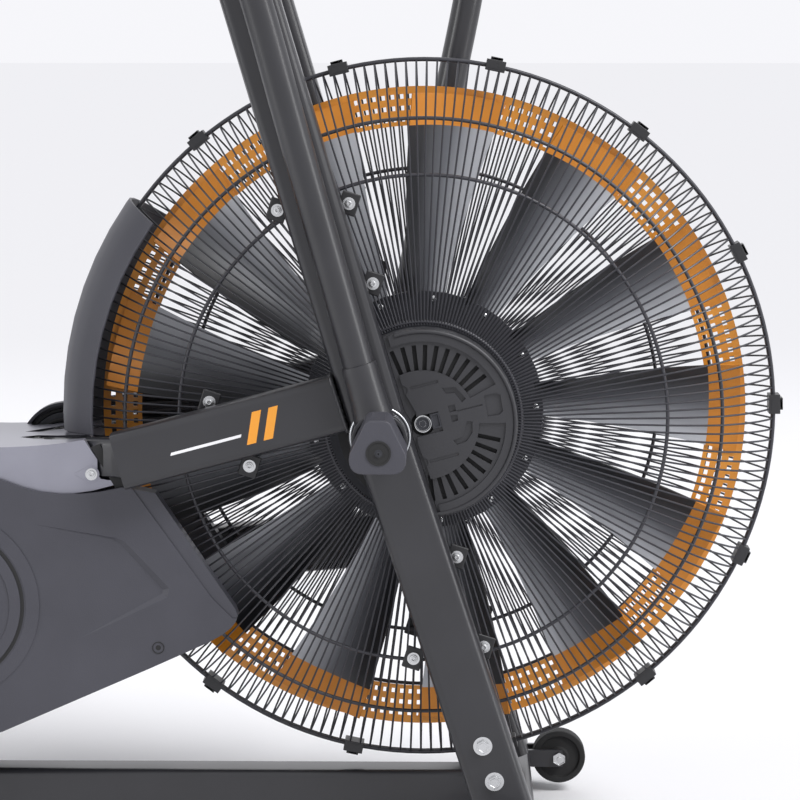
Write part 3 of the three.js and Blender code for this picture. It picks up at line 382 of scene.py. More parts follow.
silver_coat = grained("silver_lacquer", "#85858f", "#9a9aa5", 0.30, 1.2 * MM, 0.04 * MM, metallic=0.5)
natural_rubber = grained("natural_rubber", "#121213", "#1c1c1d", 0.78, 1.1 * MM, 0.15 * MM, ior=1.52)
grip_foam = grained("closed_cell_foam", "#19191a", "#232324", 0.86, 1.2 * MM, 0.35 * MM, sharp=True)
print("coated and moulded:", [m.name for m in bpy.data.materials if m.users == 0])

# %% [markdown]
# ## Bare metal
# Turned and brushed steel keeps the fine lines of the tool. The lines run round a turned part, so
# a noise that is stretched far along one axis and squeezed along the others draws them.

# %% Brushed and plated steel
def metal(name, hex_code, roughness, stretch=(1, 0.04, 1)):
    material, tree, shader, place = new_material(name, metallic=1.0)
    lines = add_node(tree, "ShaderNodeMapping", {"Vector": place, "Scale": stretch})
    brush = add_node(tree, "ShaderNodeTexNoise",
                     {"Vector": lines.outputs["Vector"], "Scale": 1 / (0.8 * MM)})
    shader.inputs["Base Color"].default_value = linear(hex_code)
    gloss = add_node(tree, "ShaderNodeMapRange", {"Value": brush.outputs["Fac"]})
    gloss.inputs["To Min"].default_value = roughness - 0.06
    gloss.inputs["To Max"].default_value = roughness + 0.08
    tree.links.new(gloss.outputs["Result"], shader.inputs["Roughness"])
    bump = add_node(tree, "ShaderNodeBump", {"Height": brush.outputs["Fac"], "Distance": 0.02 * MM})
    tree.links.new(bump.outputs["Normal"], shader.inputs["Normal"])
    return material


brushed_steel = metal("brushed_steel", "#b9bbbe", 0.30)
zinc_plate = metal("zinc_plated_screws", "#c9cacb", 0.24, stretch=(1, 1, 1))

# %% [markdown]
# ## Fan blades
# A blade is pressed from sheet and coated in satin grey. Its flat back half catches the sky and looks
# much lighter than the scooped edge. That light and shade is painted into the coat's colour, which
# follows how far across the blade a point lies. That distance is stored in the mesh as `across`, from
# 0 at the back edge to 1 at the scooped edge. The tips are orange, like the ring they sit on, from a
# set distance from the hub.

# %% Blade coat with painted light and shade, and orange tips
TIP_RADIUS = 0.309
sheen_painted_blade_coat, tree, shader, place = new_material("blade_coat_painted_sheen", metallic=0.1)
across = add_node(tree, "ShaderNodeAttribute", attribute_name="across").outputs["Fac"]
# painted light and shade: pale where the flat back of the blade catches the sky, dark towards the
# scooped edge
shade = add_node(tree, "ShaderNodeValToRGB", {"Fac": across})
shade.color_ramp.elements[0].color = linear("#c3c5cb")
shade.color_ramp.elements[0].position = 0.08
shade.color_ramp.elements[1].color = linear("#222327")
shade.color_ramp.elements[1].position = 0.84
middle = shade.color_ramp.elements.new(0.50)
middle.color = linear("#686a70")
from_hub = add_node(tree, "ShaderNodeVectorMath", {0: place, 1: HUB}, operation="SUBTRACT")
flat_on = add_node(tree, "ShaderNodeVectorMath", {0: from_hub.outputs["Vector"], 1: (1, 0, 1)},
                   operation="MULTIPLY")
radius = add_node(tree, "ShaderNodeVectorMath", {0: flat_on.outputs["Vector"]}, operation="LENGTH")
is_tip = add_node(tree, "ShaderNodeMapRange", {"Value": radius.outputs["Value"]})
is_tip.inputs["From Min"].default_value = TIP_RADIUS
is_tip.inputs["From Max"].default_value = TIP_RADIUS + 0.4 * MM
painted_sheen_and_tips = blend(tree, is_tip.outputs["Result"], shade.outputs["Color"], linear("#d98a2c"))
tree.links.new(painted_sheen_and_tips, shader.inputs["Base Color"])
satin = add_node(tree, "ShaderNodeTexNoise", {"Vector": place, "Scale": 1 / (1.5 * MM)})
bump = add_node(tree, "ShaderNodeBump", {"Height": satin.outputs["Fac"], "Distance": 0.03 * MM})
tree.links.new(bump.outputs["Normal"], shader.inputs["Normal"])
shader.inputs["Roughness"].default_value = 0.36
print("blade coat turns orange", round(TIP_RADIUS * 1000), "mm from the hub")

# %% [markdown]
# ## Saddle cover and console glass
# The saddle is covered in embossed vinyl: pebbles about 2 mm across with creases between them,
# which a Voronoi pattern draws well. The screen is a dark panel behind clear acrylic.

# %% Embossed vinyl and a dark display
PEBBLE = 2.2 * MM
saddle_vinyl, tree, shader, place = new_material("embossed_vinyl", coat=0.05)
pebbles = add_node(tree, "ShaderNodeTexVoronoi", {"Vector": place, "Scale": 1 / PEBBLE},
                   feature="DISTANCE_TO_EDGE")
crease = add_node(tree, "ShaderNodeMapRange", {"Value": pebbles.outputs["Distance"]})
crease.inputs["From Max"].default_value = 0.25
# the creases between the pebbles are painted darker than the pebble tops: painted shade
tree.links.new(blend(tree, crease.outputs["Result"], linear("#121213"), linear("#222224")),
               shader.inputs["Base Color"])
bump = add_node(tree, "ShaderNodeBump", {"Height": crease.outputs["Result"], "Distance": 0.25 * MM})
tree.links.new(bump.outputs["Normal"], shader.inputs["Normal"])
shader.inputs["Roughness"].default_value = 0.52
shader.inputs["Sheen Weight"].default_value = 0.1

display_acrylic, tree, shader, place = new_material("display_acrylic", ior=1.49, coat=0.6)
rows = add_node(tree, "ShaderNodeTexNoise", {"Vector": place, "Scale": 1 / (30 * MM)})
tree.links.new(blend(tree, rows.outputs["Fac"], linear("#0b0d10"), linear("#15191e")),
               shader.inputs["Base Color"])
shader.inputs["Roughness"].default_value = 0.08
print("vinyl pebbles are", round(PEBBLE / MM, 1), "mm across")

# %% [markdown]
# ## Wire cage
# Two dished halves of welded wire keep hands out of the fan. On each half some two hundred thin
# wires run straight out from a plate at the middle, bend over two hoops and end on a thick rim
# hoop. One wire is bent along its points and copied round the hub; the hoops are rings of the
# same round section. Modelling the wires one by one would give the same mesh with far more work.

# %% One bent wire, its copies and the hoops
WIRES = 210
WIRE = 1.05 * MM
cage_line = [(101, 88), (180, 87), (252, 85.5), (276, 83), (300, 78.5), (320, 71.5), (342, 55),
             (360, 34), (371, 17), (377.5, 4)]


def hoop(radius, y, thickness, name, segments=144, sides=8):
    """A round wire hoop about the fan axis."""
    ring = start(bpy.ops.mesh.primitive_torus_add, major_segments=segments, minor_segments=sides,
                 major_radius=radius, minor_radius=thickness, location=(HUB.x, y, HUB.z),
                 rotation=(math.pi / 2, 0, 0))
    bpy.ops.object.shade_smooth()
    return settle(ring, name)


def cage_half(side, name):
    points = [(HUB.x + r * MM, side * y * MM, HUB.z) for r, y in cage_line]
    wire = sweep(points, WIRE, sides=6, name="wire")
    turns = [2 * math.pi * (i + 0.25) / WIRES for i in range(WIRES)]
    wires = ring_of(wire, turns, "wires")
    hoops = [
        hoop(0.3788, side * 2.6 * MM, 2.4 * MM, "rim", sides=10),
        hoop(0.318, side * 70.5 * MM, 2 * MM, "shoulder"),
        hoop(0.259, side * 83.2 * MM, 2 * MM, "face"),
        hoop(0.104, side * 86.5 * MM, 2.6 * MM, "mouth"),
    ]
    return joined([wires, *hoops], name)


for side, sign in SIDES.items():
    half = cage_half(sign, f"cage_wires_{side}")
    finish_piece(half, "frame", wire_coat, "wire_coat", f"guard_{side}")

# %% [markdown]
# ## Rim clips
# Black moulded clips hold the two rim hoops together. Each is a small saddle-shaped block with a
# screw boss on its outer side. A box is bevelled, and its outer face is inset and pulled out.

# %% Fourteen clips
def rim_clip():
    clip = box_at((HUB.x + 0.3795, 0, HUB.z), (0.012, 0.024, 0.021), "clip")
    step_in(clip, lambda middle, normal: normal.x > 0.9, 0.004, (0.0032, 0, 0))
    step_in(clip, lambda middle, normal: abs(normal.y) > 0.9, 0.003, (-0.001, 0, 0))
    return round_edges(clip, 1 * MM, segments=2)


CLIPS = 14
clip_angles = [math.radians(1.2 + i * 360 / CLIPS) for i in range(CLIPS)]
finish_piece(ring_of(rim_clip(), clip_angles, "rim_clips"), "frame", black_pp, "black_plastic")

# %% [markdown]
# ## Screws on black tabs
# The cage is screwed to tabs that stand out from the frame. A screw here is a pan head with a
# round driver socket, on a wide washer. The head starts as a short cylinder whose face is inset
# and raised; it is inset again, and what is left in the middle is pushed in as the socket.

# %% A pan head screw with its washer
def screw(radius, name="screw"):
    """A screw at the origin with its head towards -Y."""
    head = rod((0, -radius * 0.55, 0), radius, radius * 0.7, 20, "head")
    choose_faces(head, lambda middle, normal: normal.y < -0.9)
    bpy.ops.mesh.inset(thickness=radius * 0.35)
    pull((0, -radius * 0.16, 0))
    bpy.ops.mesh.inset(thickness=radius * 0.3)
    pull((0, radius * 0.75, 0))
    done()
    round_edges(head, radius * 0.12)
    washer = rod((0, -radius * 0.1, 0), radius * 1.55, radius * 0.24, 28, "washer")
    round_edges(washer, radius * 0.06)
    return joined([head, washer], name)


def screws_at(places, radius, name, sign):
    """Copies of one screw at each (x, y, z), with their heads towards sign * Y."""
    master = screw(radius)
    turn = 0 if sign < 0 else math.pi
    copies = [copied(master, Matrix.Translation(p) @ Matrix.Rotation(turn, 4, "Z")) for p in places]
    bpy.data.objects.remove(master)
    return joined(copies, name)


def tab(x, z, width, height, lean, front, back):
    """A small black plate with rounded corners that stands behind a screw."""
    plate = box_at((x, (front + back) / 2, z), (width, abs(back - front), height), "tab", lean)
    return round_edges(plate, min(width, height) * 0.18, segments=3)


# where each cage screw sits, in millimetres forward of the hub and above it
CAGE_SCREWS = [(-153, 222), (-78, 229), (-53, 145), (-226, 19), (-184, -49), (36, -146),
               (65, -243), (-10, -256)]
for side, sign in SIDES.items():
    places = [(HUB.x + x * MM, sign * 0.0935, HUB.z + z * MM) for x, z in CAGE_SCREWS]
    heads = screws_at(places, 4.4 * MM, f"cage_screws_{side}", sign)
    finish_piece(heads, "frame", zinc_plate, "steel")
    tabs = [tab(x, z, 0.020, 0.024, 0.3, sign * 0.0925, sign * 0.0895) for x, _, z in places]
    finish_piece(joined(tabs, f"cage_tabs_{side}"), "frame", black_pp, "black_plastic")

# %% [markdown]
# ## Perforated ring
# A flat orange ring ties the blade tips together. It is punched with three rows of small square
# holes. One short stretch of it is a flat grid with its hole cells deleted; the stretch is wrapped
# to the ring's curve, copied round, merged into one sheet and given its thickness. Cutting six
# hundred holes out of a solid ring with booleans would be far slower and leave a worse mesh.

# %% Punching and wrapping the ring
RING_INNER = 0.308
STRETCHES = 212
HOLE_ROWS = 3
pitch = 2 * math.pi / STRETCHES


def punched_stretch():
    bands = 2 * HOLE_ROWS + 1
    strip = start(bpy.ops.mesh.primitive_grid_add, x_subdivisions=3, y_subdivisions=bands, size=1)
    edges = [0, 4.5, 9.5, 16.5, 21.5, 29, 34, 42]  # band limits across the ring, in millimetres
    walls = [0, 0.22, 0.78, 1]  # along the ring, as shares of one stretch
    for vertex in strip.data.vertices:
        column = round((vertex.co.x + 0.5) * 3)
        row = round((vertex.co.y + 0.5) * bands)
        reach = RING_INNER + edges[row] * MM
        angle = pitch * walls[column]
        vertex.co = HUB + Vector((reach * math.cos(angle), 0.013, reach * math.sin(angle)))
    middles = [RING_INNER + (edges[2 * k + 1] + edges[2 * k + 2]) / 2 * MM for k in range(HOLE_ROWS)]

    def in_hole(middle, normal):
        offset = middle - HUB
        angle = math.atan2(offset.z, offset.x)
        reach = math.hypot(offset.x, offset.z)
        return 0.25 < angle / pitch < 0.75 and min(abs(reach - m) for m in middles) < 1.5 * MM

    choose_faces(strip, in_hole)
    bpy.ops.mesh.delete(type="FACE")
    done()
    return strip


ring = ring_of(punched_stretch(), [pitch * i for i in range(STRETCHES)], "perforated_ring")
pick(ring)
bpy.ops.object.mode_set(mode="EDIT")
bpy.ops.mesh.select_all(action="SELECT")
bpy.ops.mesh.remove_doubles(threshold=0.05 * MM)
bpy.ops.mesh.normals_make_consistent(inside=False)
done()
modifier(ring, "SOLIDIFY", thickness=1.6 * MM, offset=0)
finish_piece(ring, "fan", orange_coat, "orange_coat", "fan_ring")

# %% [markdown]
# ## Fan blades
# Thirteen blades are pressed from one pattern: flat at the back, scooped forward to a sharp front
# edge, with a stiffening rib down the flat part. One grid is bent into that shape, given its
# thickness and copied. The `across` attribute that the coat's painted light and shade reads is
# written on the grid first.

# %% Shaping one blade and copying it
BLADES = 13
BLADE_SWEEP = math.radians(17)
DISC_RADIUS = 0.130
BLADE_LIMIT = 0.346  # the blades end 3 mm short of this radius
COLUMNS, ROWS = 16, 14


def blade():
    sheet = start(bpy.ops.mesh.primitive_grid_add, x_subdivisions=COLUMNS, y_subdivisions=ROWS, size=1)
    spread = sheet.data.attributes.new("across", "FLOAT", "POINT")
    for vertex in sheet.data.vertices:
        t = vertex.co.x + 0.5
        reach = vertex.co.y + 0.5
        r = DISC_RADIUS - 0.012 + reach * (BLADE_LIMIT - 0.003 - DISC_RADIUS + 0.012)
        angle = math.radians(9 + 5 * (1 - reach)) - BLADE_SWEEP * (1 - t)
        rib = 2.2 * MM * math.exp(-((t - 0.30) / 0.07) ** 2) * min(1, 6 * reach * (1 - reach))
        root = max(0, 1 - reach / 0.16)
        depth = (10 - 40 * t ** 2.1) * MM
        y = depth * (1 - root) + 3 * MM * root - rib
        vertex.co = HUB + Vector((r * math.cos(angle), y, r * math.sin(angle)))
        spread.data[vertex.index].value = t
    modifier(sheet, "SOLIDIFY", thickness=1.4 * MM, offset=0)
    pick(sheet)
    bpy.ops.object.shade_smooth_by_angle(angle=math.radians(40))
    return sheet


blades = ring_of(blade(), [2 * math.pi * i / BLADES for i in range(BLADES)], "fan_blades")
finish_piece(blades, "fan", sheen_painted_blade_coat, "fan_coat",
             *[f"fan_blade_{i:02d}" for i in range(1, BLADES + 1)])

# %% [markdown]
# ## Rivets
# Each blade is riveted once to the pressed steel disc and once to the ring. A rivet head is a low
# dome: a flattened sphere that is sunk halfway into the sheet, copied round the hub.

# %% Rivets
def rivet(radius, place):
    dome = start(bpy.ops.mesh.primitive_uv_sphere_add, segments=12, ring_count=8, radius=radius,
                 location=place)
    dome.scale = (1, 0.55, 1)
    settle(dome, "rivet")
    bpy.ops.object.shade_smooth()
    return dome


blade_turns = [2 * math.pi * i / BLADES for i in range(BLADES)]
near_root = [angle + math.radians(9 + 5 - 12) for angle in blade_turns]
inner_rivets = ring_of(rivet(3.6 * MM, (HUB.x + 0.122, -3.2 * MM, HUB.z)), near_root, "inner")
outer_rivets = ring_of(rivet(3.0 * MM, (HUB.x + 0.327, 11.4 * MM, HUB.z)),
                       [angle + math.radians(-5) for angle in blade_turns], "outer")
finish_piece(joined([inner_rivets, outer_rivets], "fan_rivets"), "fan", zinc_plate, "fan_coat")

# %% [markdown]
# ## Dressing the welded frame and the housings
# These plain solids already have the right shape, but their edges are knife sharp and their faces
# are cut into triangles. A copy of each is merged, its flat faces are dissolved back into whole
# ones, its edges are rounded with a bevel and its curves are smoothed. The copy stands for the
# plain solid, which stays untouched.

# %% Rounding the edges of a copy
bodies = frame["record"]["behaviour"]["bodies"]
body_of_node = {node: body for body, nodes in bodies.items() for node in nodes}


def dressed(node, name, material, slot, edge=1.2 * MM, angle=50, smooth=46, finished=True):
    source = frame["nodes"][node]
    piece = bpy.data.objects.new(name, source.data.copy())
    bpy.context.collection.objects.link(piece)
    pick(piece)
    bpy.ops.object.mode_set(mode="EDIT")
    bpy.ops.mesh.select_all(action="SELECT")
    bpy.ops.mesh.remove_doubles(threshold=0.01 * MM)
    bpy.ops.mesh.dissolve_limited(angle_limit=math.radians(0.6))
    done()
    if piece.data.has_custom_normals:
        bpy.ops.mesh.customdata_custom_splitnormals_clear()
    if edge:
        round_edges(piece, edge, segments=2, angle=angle, smooth=smooth)
    else:
        bpy.ops.object.shade_smooth_by_angle(angle=math.radians(smooth))
    settle(piece, name)
    if finished:
        finish_piece(piece, body_of_node[node], material, slot, node)
    return piece


FRAME_NODES = ["rear_stabilizer", "front_stabilizer", "spine_beam", "upright_right", "upright_left",
               "seat_tube", "rear_fork", "main_tube_right", "main_tube_left", "lower_brace_left",
               "console_mast", "seat_slider"]
for node in FRAME_NODES:
    dressed(node, f"{node}_coated", powder_coat, "frame_coat", edge=1.6 * MM)

# %% [markdown]
# ## Cutting with drawn solids
# Recesses in a moulding are easiest to cut: the outline of each one is drawn on the face, made into
# a solid and taken away with a boolean. Most are plain prisms. One that gets deeper towards an end
# has a second outline for its floor, with a depth for every corner.

# %% Prisms and cutting
def prism(outline, y0, y1, name="prism", centre=HUB):
    """A solid from an outline of (forward, up) points in millimetres about the centre."""
    flat = start(bpy.ops.mesh.primitive_circle_add, vertices=len(outline), radius=1, fill_type="NGON")
    for vertex, (x, z) in zip(flat.data.vertices, outline):
        vertex.co = (centre.x + x * MM, y0, centre.z + z * MM)
    bpy.ops.object.mode_set(mode="EDIT")
    bpy.ops.mesh.select_all(action="SELECT")
    pull((0, y1 - y0, 0))
    bpy.ops.mesh.select_all(action="SELECT")
    bpy.ops.mesh.normals_make_consistent(inside=False)
    done()
    return settle(flat, name)


def cut_away(obj, *tools):
    for tool in tools:
        modifier(obj, "BOOLEAN", operation="DIFFERENCE", object=tool, solver="EXACT")
        bpy.data.objects.remove(tool)
    return obj


def ramped(rim, bed, depths, face, sign, name="ramped"):
    """A cutting solid with sloping sides: rim is drawn on the face, bed at its own depths below."""
    loops = [[Vector((x, sign * (face + 4 * MM), z)) for x, z in rim],
             [Vector((x, sign * (face + 0.05 * MM), z)) for x, z in rim],
             [Vector((x, sign * (face - depth * MM), z)) for (x, z), depth in zip(bed, depths)]]
    flat = start(bpy.ops.mesh.primitive_circle_add, vertices=len(rim), radius=1, fill_type="NGON")
    for vertex, place in zip(flat.data.vertices, loops[0]):
        vertex.co = place
    bpy.ops.object.mode_set(mode="EDIT")
    for last, ring in zip(loops, loops[1:]):
        bpy.ops.mesh.select_all(action="DESELECT")
        shape = bmesh.from_edit_mesh(flat.data)
        for vertex in shape.verts:
            vertex.select_set(min((vertex.co - place).length for place in last) < 1e-7)
        shape.select_flush(True)
        bpy.ops.mesh.extrude_region_move()
        shape = bmesh.from_edit_mesh(flat.data)
        for vertex in shape.verts:
            if vertex.select:
                nearest = min(range(len(last)), key=lambda k: (vertex.co - last[k]).length)
                vertex.co = ring[nearest]
    bpy.ops.mesh.select_all(action="SELECT")
    bpy.ops.mesh.quads_convert_to_tris()
    bpy.ops.mesh.normals_make_consistent(inside=False)
    done()
    return settle(flat, name)

# %% [markdown]
# ## Vinyl stripes on the main tubes
# Two slanted orange bars and a thin pale line are cut from adhesive vinyl and stuck on each main
# tube. They are plain stripes, a quarter of a millimetre thick, drawn in the tube's own directions.

# %% Bars and a line along the tube
along_tube = (MAIN_FRONT - MAIN_REAR).normalized()
across_tube = Vector((-along_tube.z, 0, along_tube.x))
decal_orange = grained("orange_vinyl_film", "#e8982c", "#f2a53c", 0.35, 2 * MM, 0.02 * MM)
decal_pale = grained("pale_vinyl_film", "#e4e4e6", "#f0f0f2", 0.35, 2 * MM, 0.02 * MM)


def stripe(corners, sign, name):
    """A thin patch on a main tube's outer face; corners are (along, across) in millimetres."""
    outline = []
    for run, rise in corners:
        spot = (MAIN_REAR + along_tube * run * MM + across_tube * rise * MM) / MM
        outline.append((spot.x, spot.z))
    face = max(abs(corner.y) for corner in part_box("main_tube_right"))
    return prism(outline, sign * (face - 0.05 * MM), sign * (face + 0.25 * MM), name, ORIGIN)


for side, sign in SIDES.items():
    bars = [stripe([(run, -16), (run + 10, -16), (run + 24, 16), (run + 14, 16)], sign, "bar")
            for run in (138, 156)]
    finish_piece(joined(bars, f"stripe_bars_{side}"), "frame", decal_orange, "orange_coat")
    thin = stripe([(58, -6.5), (134, -6.5), (135.5, -3.5), (59.5, -3.5)], sign, f"stripe_line_{side}")
    finish_piece(thin, "frame", decal_pale, "silver_coat")

# %% [markdown]
# ## Weld beads
# Where a main tube meets its upright, a welder has laid a bead of overlapping drops all round. The
# bead follows the tube's outline, each point pushed forward until it meets the upright, and its
# radius swells and shrinks a little with every drop.

# %% Following the joint with a rippled bead
def first_touch(corner, ahead, planes):
    """How far along a line the first of some planes lies; each plane is a point and its normal."""
    return min((spot - corner).dot(normal) / ahead.dot(normal) for spot, normal in planes)


def weld_round_tube(sign):
    ahead, up = along_tube, across_tube
    planes = []
    for far_end in (UPRIGHT_TOP, UPRIGHT_FOOT):
        length = (far_end - PIVOT).normalized()
        back = Vector((-abs(length.z), 0, math.copysign(length.x, length.x * length.z)))
        back = -back if back.x > 0 else back
        back = (back - length * back.dot(length)).normalized()
        planes.append((PIVOT + back * 30 * MM, back))
    half_height, half_width, corner = 29.5 * MM, 19.5 * MM, 7 * MM
    points = []
    for quarter, (a, b) in enumerate([(1, 1), (-1, 1), (-1, -1), (1, -1)]):
        for step in range(5):
            turn = math.radians(90 * quarter + 22.5 * step)
            high = b * (half_height - corner) + corner * math.sin(turn)
            wide = a * (half_width - corner) + corner * math.cos(turn)
            points.append((wide, high))
    dense = []
    for (w0, h0), (w1, h1) in zip(points, points[1:] + points[:1]):
        steps = max(1, round(math.hypot(w1 - w0, h1 - h0) / (2.4 * MM)))
        dense += [(w0 + (w1 - w0) * k / steps, h0 + (h1 - h0) * k / steps) for k in range(steps)]
    line = []
    for wide, high in dense:
        base = MAIN_REAR + up * high + Vector((0, sign * FRAME_Y + wide, 0))
        line.append(base + ahead * (first_touch(base, ahead, planes) - 0.6 * MM))
    radii = [2.4 * MM + 0.5 * MM * math.sin(i * 2.1) for i in range(len(line))]
    return sweep(line, radii, sides=8, name="bead", closed=True)


beads = joined([weld_round_tube(sign) for sign in SIDES.values()], "weld_beads")
finish_piece(beads, "frame", powder_coat, "frame_coat")

# %% [markdown]
# ## Shroud and its sunken panel
# The shroud is a moulded shell. An arrow-shaped panel sinks into each side, flush at its back and
# deepest at its tip, with a broad slope in front and a narrow one below. Along the cage the edge
# steps down in a rebate, and a low ring frames the crank cover.

# %% Sinking the panel and the rebate
SHROUD_FACE = 0.109
PANEL_RIM = [(-0.168, 0.3735), (-0.074, 0.3565), (-0.064, 0.3525), (-0.0165, 0.3020), (-0.0185, 0.2925),
             (-0.112, 0.2440), (-0.140, 0.300)]
PANEL_BED = [(-0.160, 0.3705), (-0.077, 0.3545), (-0.069, 0.3495), (-0.0240, 0.3000), (-0.0245, 0.2960),
             (-0.112, 0.2480), (-0.138, 0.300)]
PANEL_DEPTHS = [0.1, 2.2, 3.0, 3.6, 3.6, 0.2, 0.05]
REBATE = [(-60, 416), (26, 295), (31, 289), (38, 282), (50, 270), (80, 270), (80, 330), (-10, 430)]


def panelled(node, name, sign):
    shell = dressed(node, name, shroud_abs, "shroud_plastic", edge=0, finished=False)
    panel = ramped(PANEL_RIM, PANEL_BED, PANEL_DEPTHS, SHROUD_FACE, sign)
    rebate = prism(REBATE, sign * (SHROUD_FACE - 1.4 * MM), sign * (SHROUD_FACE + 3 * MM),
                   centre=ORIGIN)
    cut_away(shell, panel, rebate)
    round_edges(shell, 0.5 * MM, segments=2, angle=24, smooth=24)
    return finish_piece(shell, "frame", shroud_abs, "shroud_plastic", node)


for side, sign in SIDES.items():
    panelled(f"shroud_{side}", f"shroud_{side}_moulded", sign)

# %% [markdown]
# ## Crank covers and plugs
# A round cap closes the shroud round the crank axle, and a black push-in plug closes a screw hole.
# The cap is a thin cylinder whose face is inset and stepped down in the middle.

# %% Round caps
def cap(centre, y, radius, thickness, sign, step, name, vertices=64):
    """A round cap on the side of the bike, with its face towards sign * Y."""
    disc = rod((centre[0], y + sign * thickness / 2, centre[1]), radius, thickness, vertices, name)
    choose_faces(disc, lambda middle, normal: normal.y * sign > 0.9)
    bpy.ops.mesh.inset(thickness=radius * 0.14)
    pull((0, -sign * step, 0))
    bpy.ops.mesh.inset(thickness=radius * 0.42)
    pull((0, sign * step * 0.5, 0))
    done()
    return round_edges(disc, min(thickness, radius) * 0.16, segments=2)


CRANK_CAPS = [  # name, radius, thickness, step, material and slot
    ("crank_ring", 0.103, 1.7 * MM, 0.4 * MM, shroud_abs, "shroud_plastic"),
    ("crank_gasket", 0.0868, 2.2 * MM, 0.4 * MM, natural_rubber, "black_plastic"),
    ("crank_cap", 0.083, 3.2 * MM, 1.2 * MM, shroud_abs, "shroud_plastic"),
]
for side, sign in SIDES.items():
    for name, radius, thickness, step, material, slot in CRANK_CAPS:
        disc = cap((CRANK.x, CRANK.z), sign * 0.1085, radius, thickness, sign, step,
                   f"{name}_{side}", 96)
        finish_piece(disc, "frame", material, slot)
    plug = cap((-0.029, 0.238), sign * 0.1068, 6.5 * MM, 3.0 * MM, sign, 1.0 * MM,
               f"shroud_plug_{side}", 24)
    finish_piece(plug, "frame", natural_rubber, "black_plastic")
    shroud_screws = screws_at([(-0.215, sign * 0.1075, 0.372), (-0.345, sign * 0.1075, 0.215)],
                              3.6 * MM, f"shroud_screws_{side}", sign)
    finish_piece(shroud_screws, "frame", zinc_plate, "steel")

# %% [markdown]
# ## Collar over the rear fork
# A silver lacquered cover closes the gap above the shroud. A screw sits in a teardrop recess on
# each side, a rubber seal covers the joint with the main tube, and three rubber plugs close the
# holes in its top.

# %% The collar with its recess and plugs
dressed("collar_cover", "collar_lacquered", silver_coat, "silver_coat", edge=1.0 * MM)
SCREW_X, SCREW_Z = -0.0985, 0.4235
RECESS = 8.5 * MM
for side, sign in SIDES.items():
    recess = rod((SCREW_X, sign * 0.1042, SCREW_Z), RECESS, 1.2 * MM, 40, f"collar_recess_{side}")
    for vertex in recess.data.vertices:  # drawn out backwards into a teardrop
        behind = max(0, (SCREW_X - vertex.co.x) / RECESS)
        vertex.co.x -= 9 * MM * behind ** 2
        vertex.co.z += (SCREW_Z - vertex.co.z) * 0.55 * behind ** 2
    round_edges(recess, 0.4 * MM)
    finish_piece(recess, "frame", silver_coat, "silver_coat")
    collar_screw = screws_at([(SCREW_X, sign * 0.1049, SCREW_Z)], 4.2 * MM,
                             f"collar_screw_{side}", sign)
    finish_piece(collar_screw, "frame", zinc_plate, "steel")
SEAL = [(-99, 452), (-90, 456), (-62, 411), (-71, 405)]  # millimetres forward and up
for side, sign in SIDES.items():
    seal = prism(SEAL, sign * 0.1028, sign * 0.1052, f"collar_seal_{side}", ORIGIN)
    finish_piece(round_edges(seal, 0.5 * MM), "frame", natural_rubber, "black_plastic")
top_plugs = []
for x, y in ((-0.150, -0.045), (-0.128, -0.075), (-0.150, 0.045)):
    stud = rod((x, y, 0.4525), 6 * MM, 3 * MM, 24, "stud", upright=True)
    step_in(stud, lambda middle, normal: normal.z > 0.9, 2 * MM, (0, 0, -1 * MM))
    top_plugs.append(round_edges(stud, 0.4 * MM))
finish_piece(joined(top_plugs, "collar_plugs"), "frame", natural_rubber, "black_plastic")

# %% [markdown]
# ## Wind guard, belt cover and small dressed pieces
# These keep their plain shape and only need rounded edges and the right finish.

# %% Dressing the rest
dressed("wind_guard", "wind_guard_moulded", shroud_abs, "black_plastic", edge=1.0 * MM, angle=60,
        smooth=50)
dressed("belt_cover_left", "belt_cover_moulded", shroud_abs, "shroud_plastic", edge=1.2 * MM)
for node in ("crank_belt", "fan_belt"):
    dressed(node, f"{node}_rubber", natural_rubber, "rubber", edge=0.5 * MM)
for node in ("fan_axle", "crank_axle", "link_rod_right", "link_rod_left"):
    dressed(node, f"{node}_steel", brushed_steel, "steel", edge=0.8 * MM)
for node in ("fan_hub", "drive_pulley", "countershaft"):
    dressed(node, f"{node}_coated", fan_coat, "fan_coat", edge=0.8 * MM)
dressed("seat_post", "seat_post_lacquered", silver_coat, "silver_coat", edge=1.2 * MM)
for node in ("post_knob", "slider_lever"):
    dressed(node, f"{node}_moulded", black_pp, "black_plastic", edge=1.5 * MM)

# %% [markdown]
# ## Hub cover
# The round cover over the axle has two fans of cooling slots, each in a sunken window, and a raised
# plate between them with the recesses of the belt tensioner. The plate is a disc from which every
# recess is cut with a prism, as the shroud's panel was.

# %% Outlines of the recesses
def fan_window(inner, outer, first, last, steps=24):
    """An arched window between two radii (mm) and two angles (degrees)."""
    turns = [math.radians(first + (last - first) * i / steps) for i in range(steps + 1)]
    return ([(inner * math.cos(a), inner * math.sin(a)) for a in turns]
            + [(outer * math.cos(a), outer * math.sin(a)) for a in reversed(turns)])


def strip(x0, z0, x1, z1, width):
    """A straight strip with pointed-off ends from one point to another, in millimetres."""
    length = math.hypot(x1 - x0, z1 - z0)
    ux, uz = (x1 - x0) / length, (z1 - z0) / length
    half = width / 2
    corners = [(-half * 0.6, 0.5), (0, 1), (length, 1), (length + half * 0.6, 0.5),
               (length + half * 0.6, -0.5), (length, -1), (0, -1), (-half * 0.6, -0.5)]
    return [(x0 + ux * a - uz * half * b, z0 + uz * a + ux * half * b) for a, b in corners]


def circle(x, z, radius, steps=28):
    turns = [2 * math.pi * i / steps for i in range(steps)]
    return [(x + radius * math.cos(a), z + radius * math.sin(a)) for a in turns]

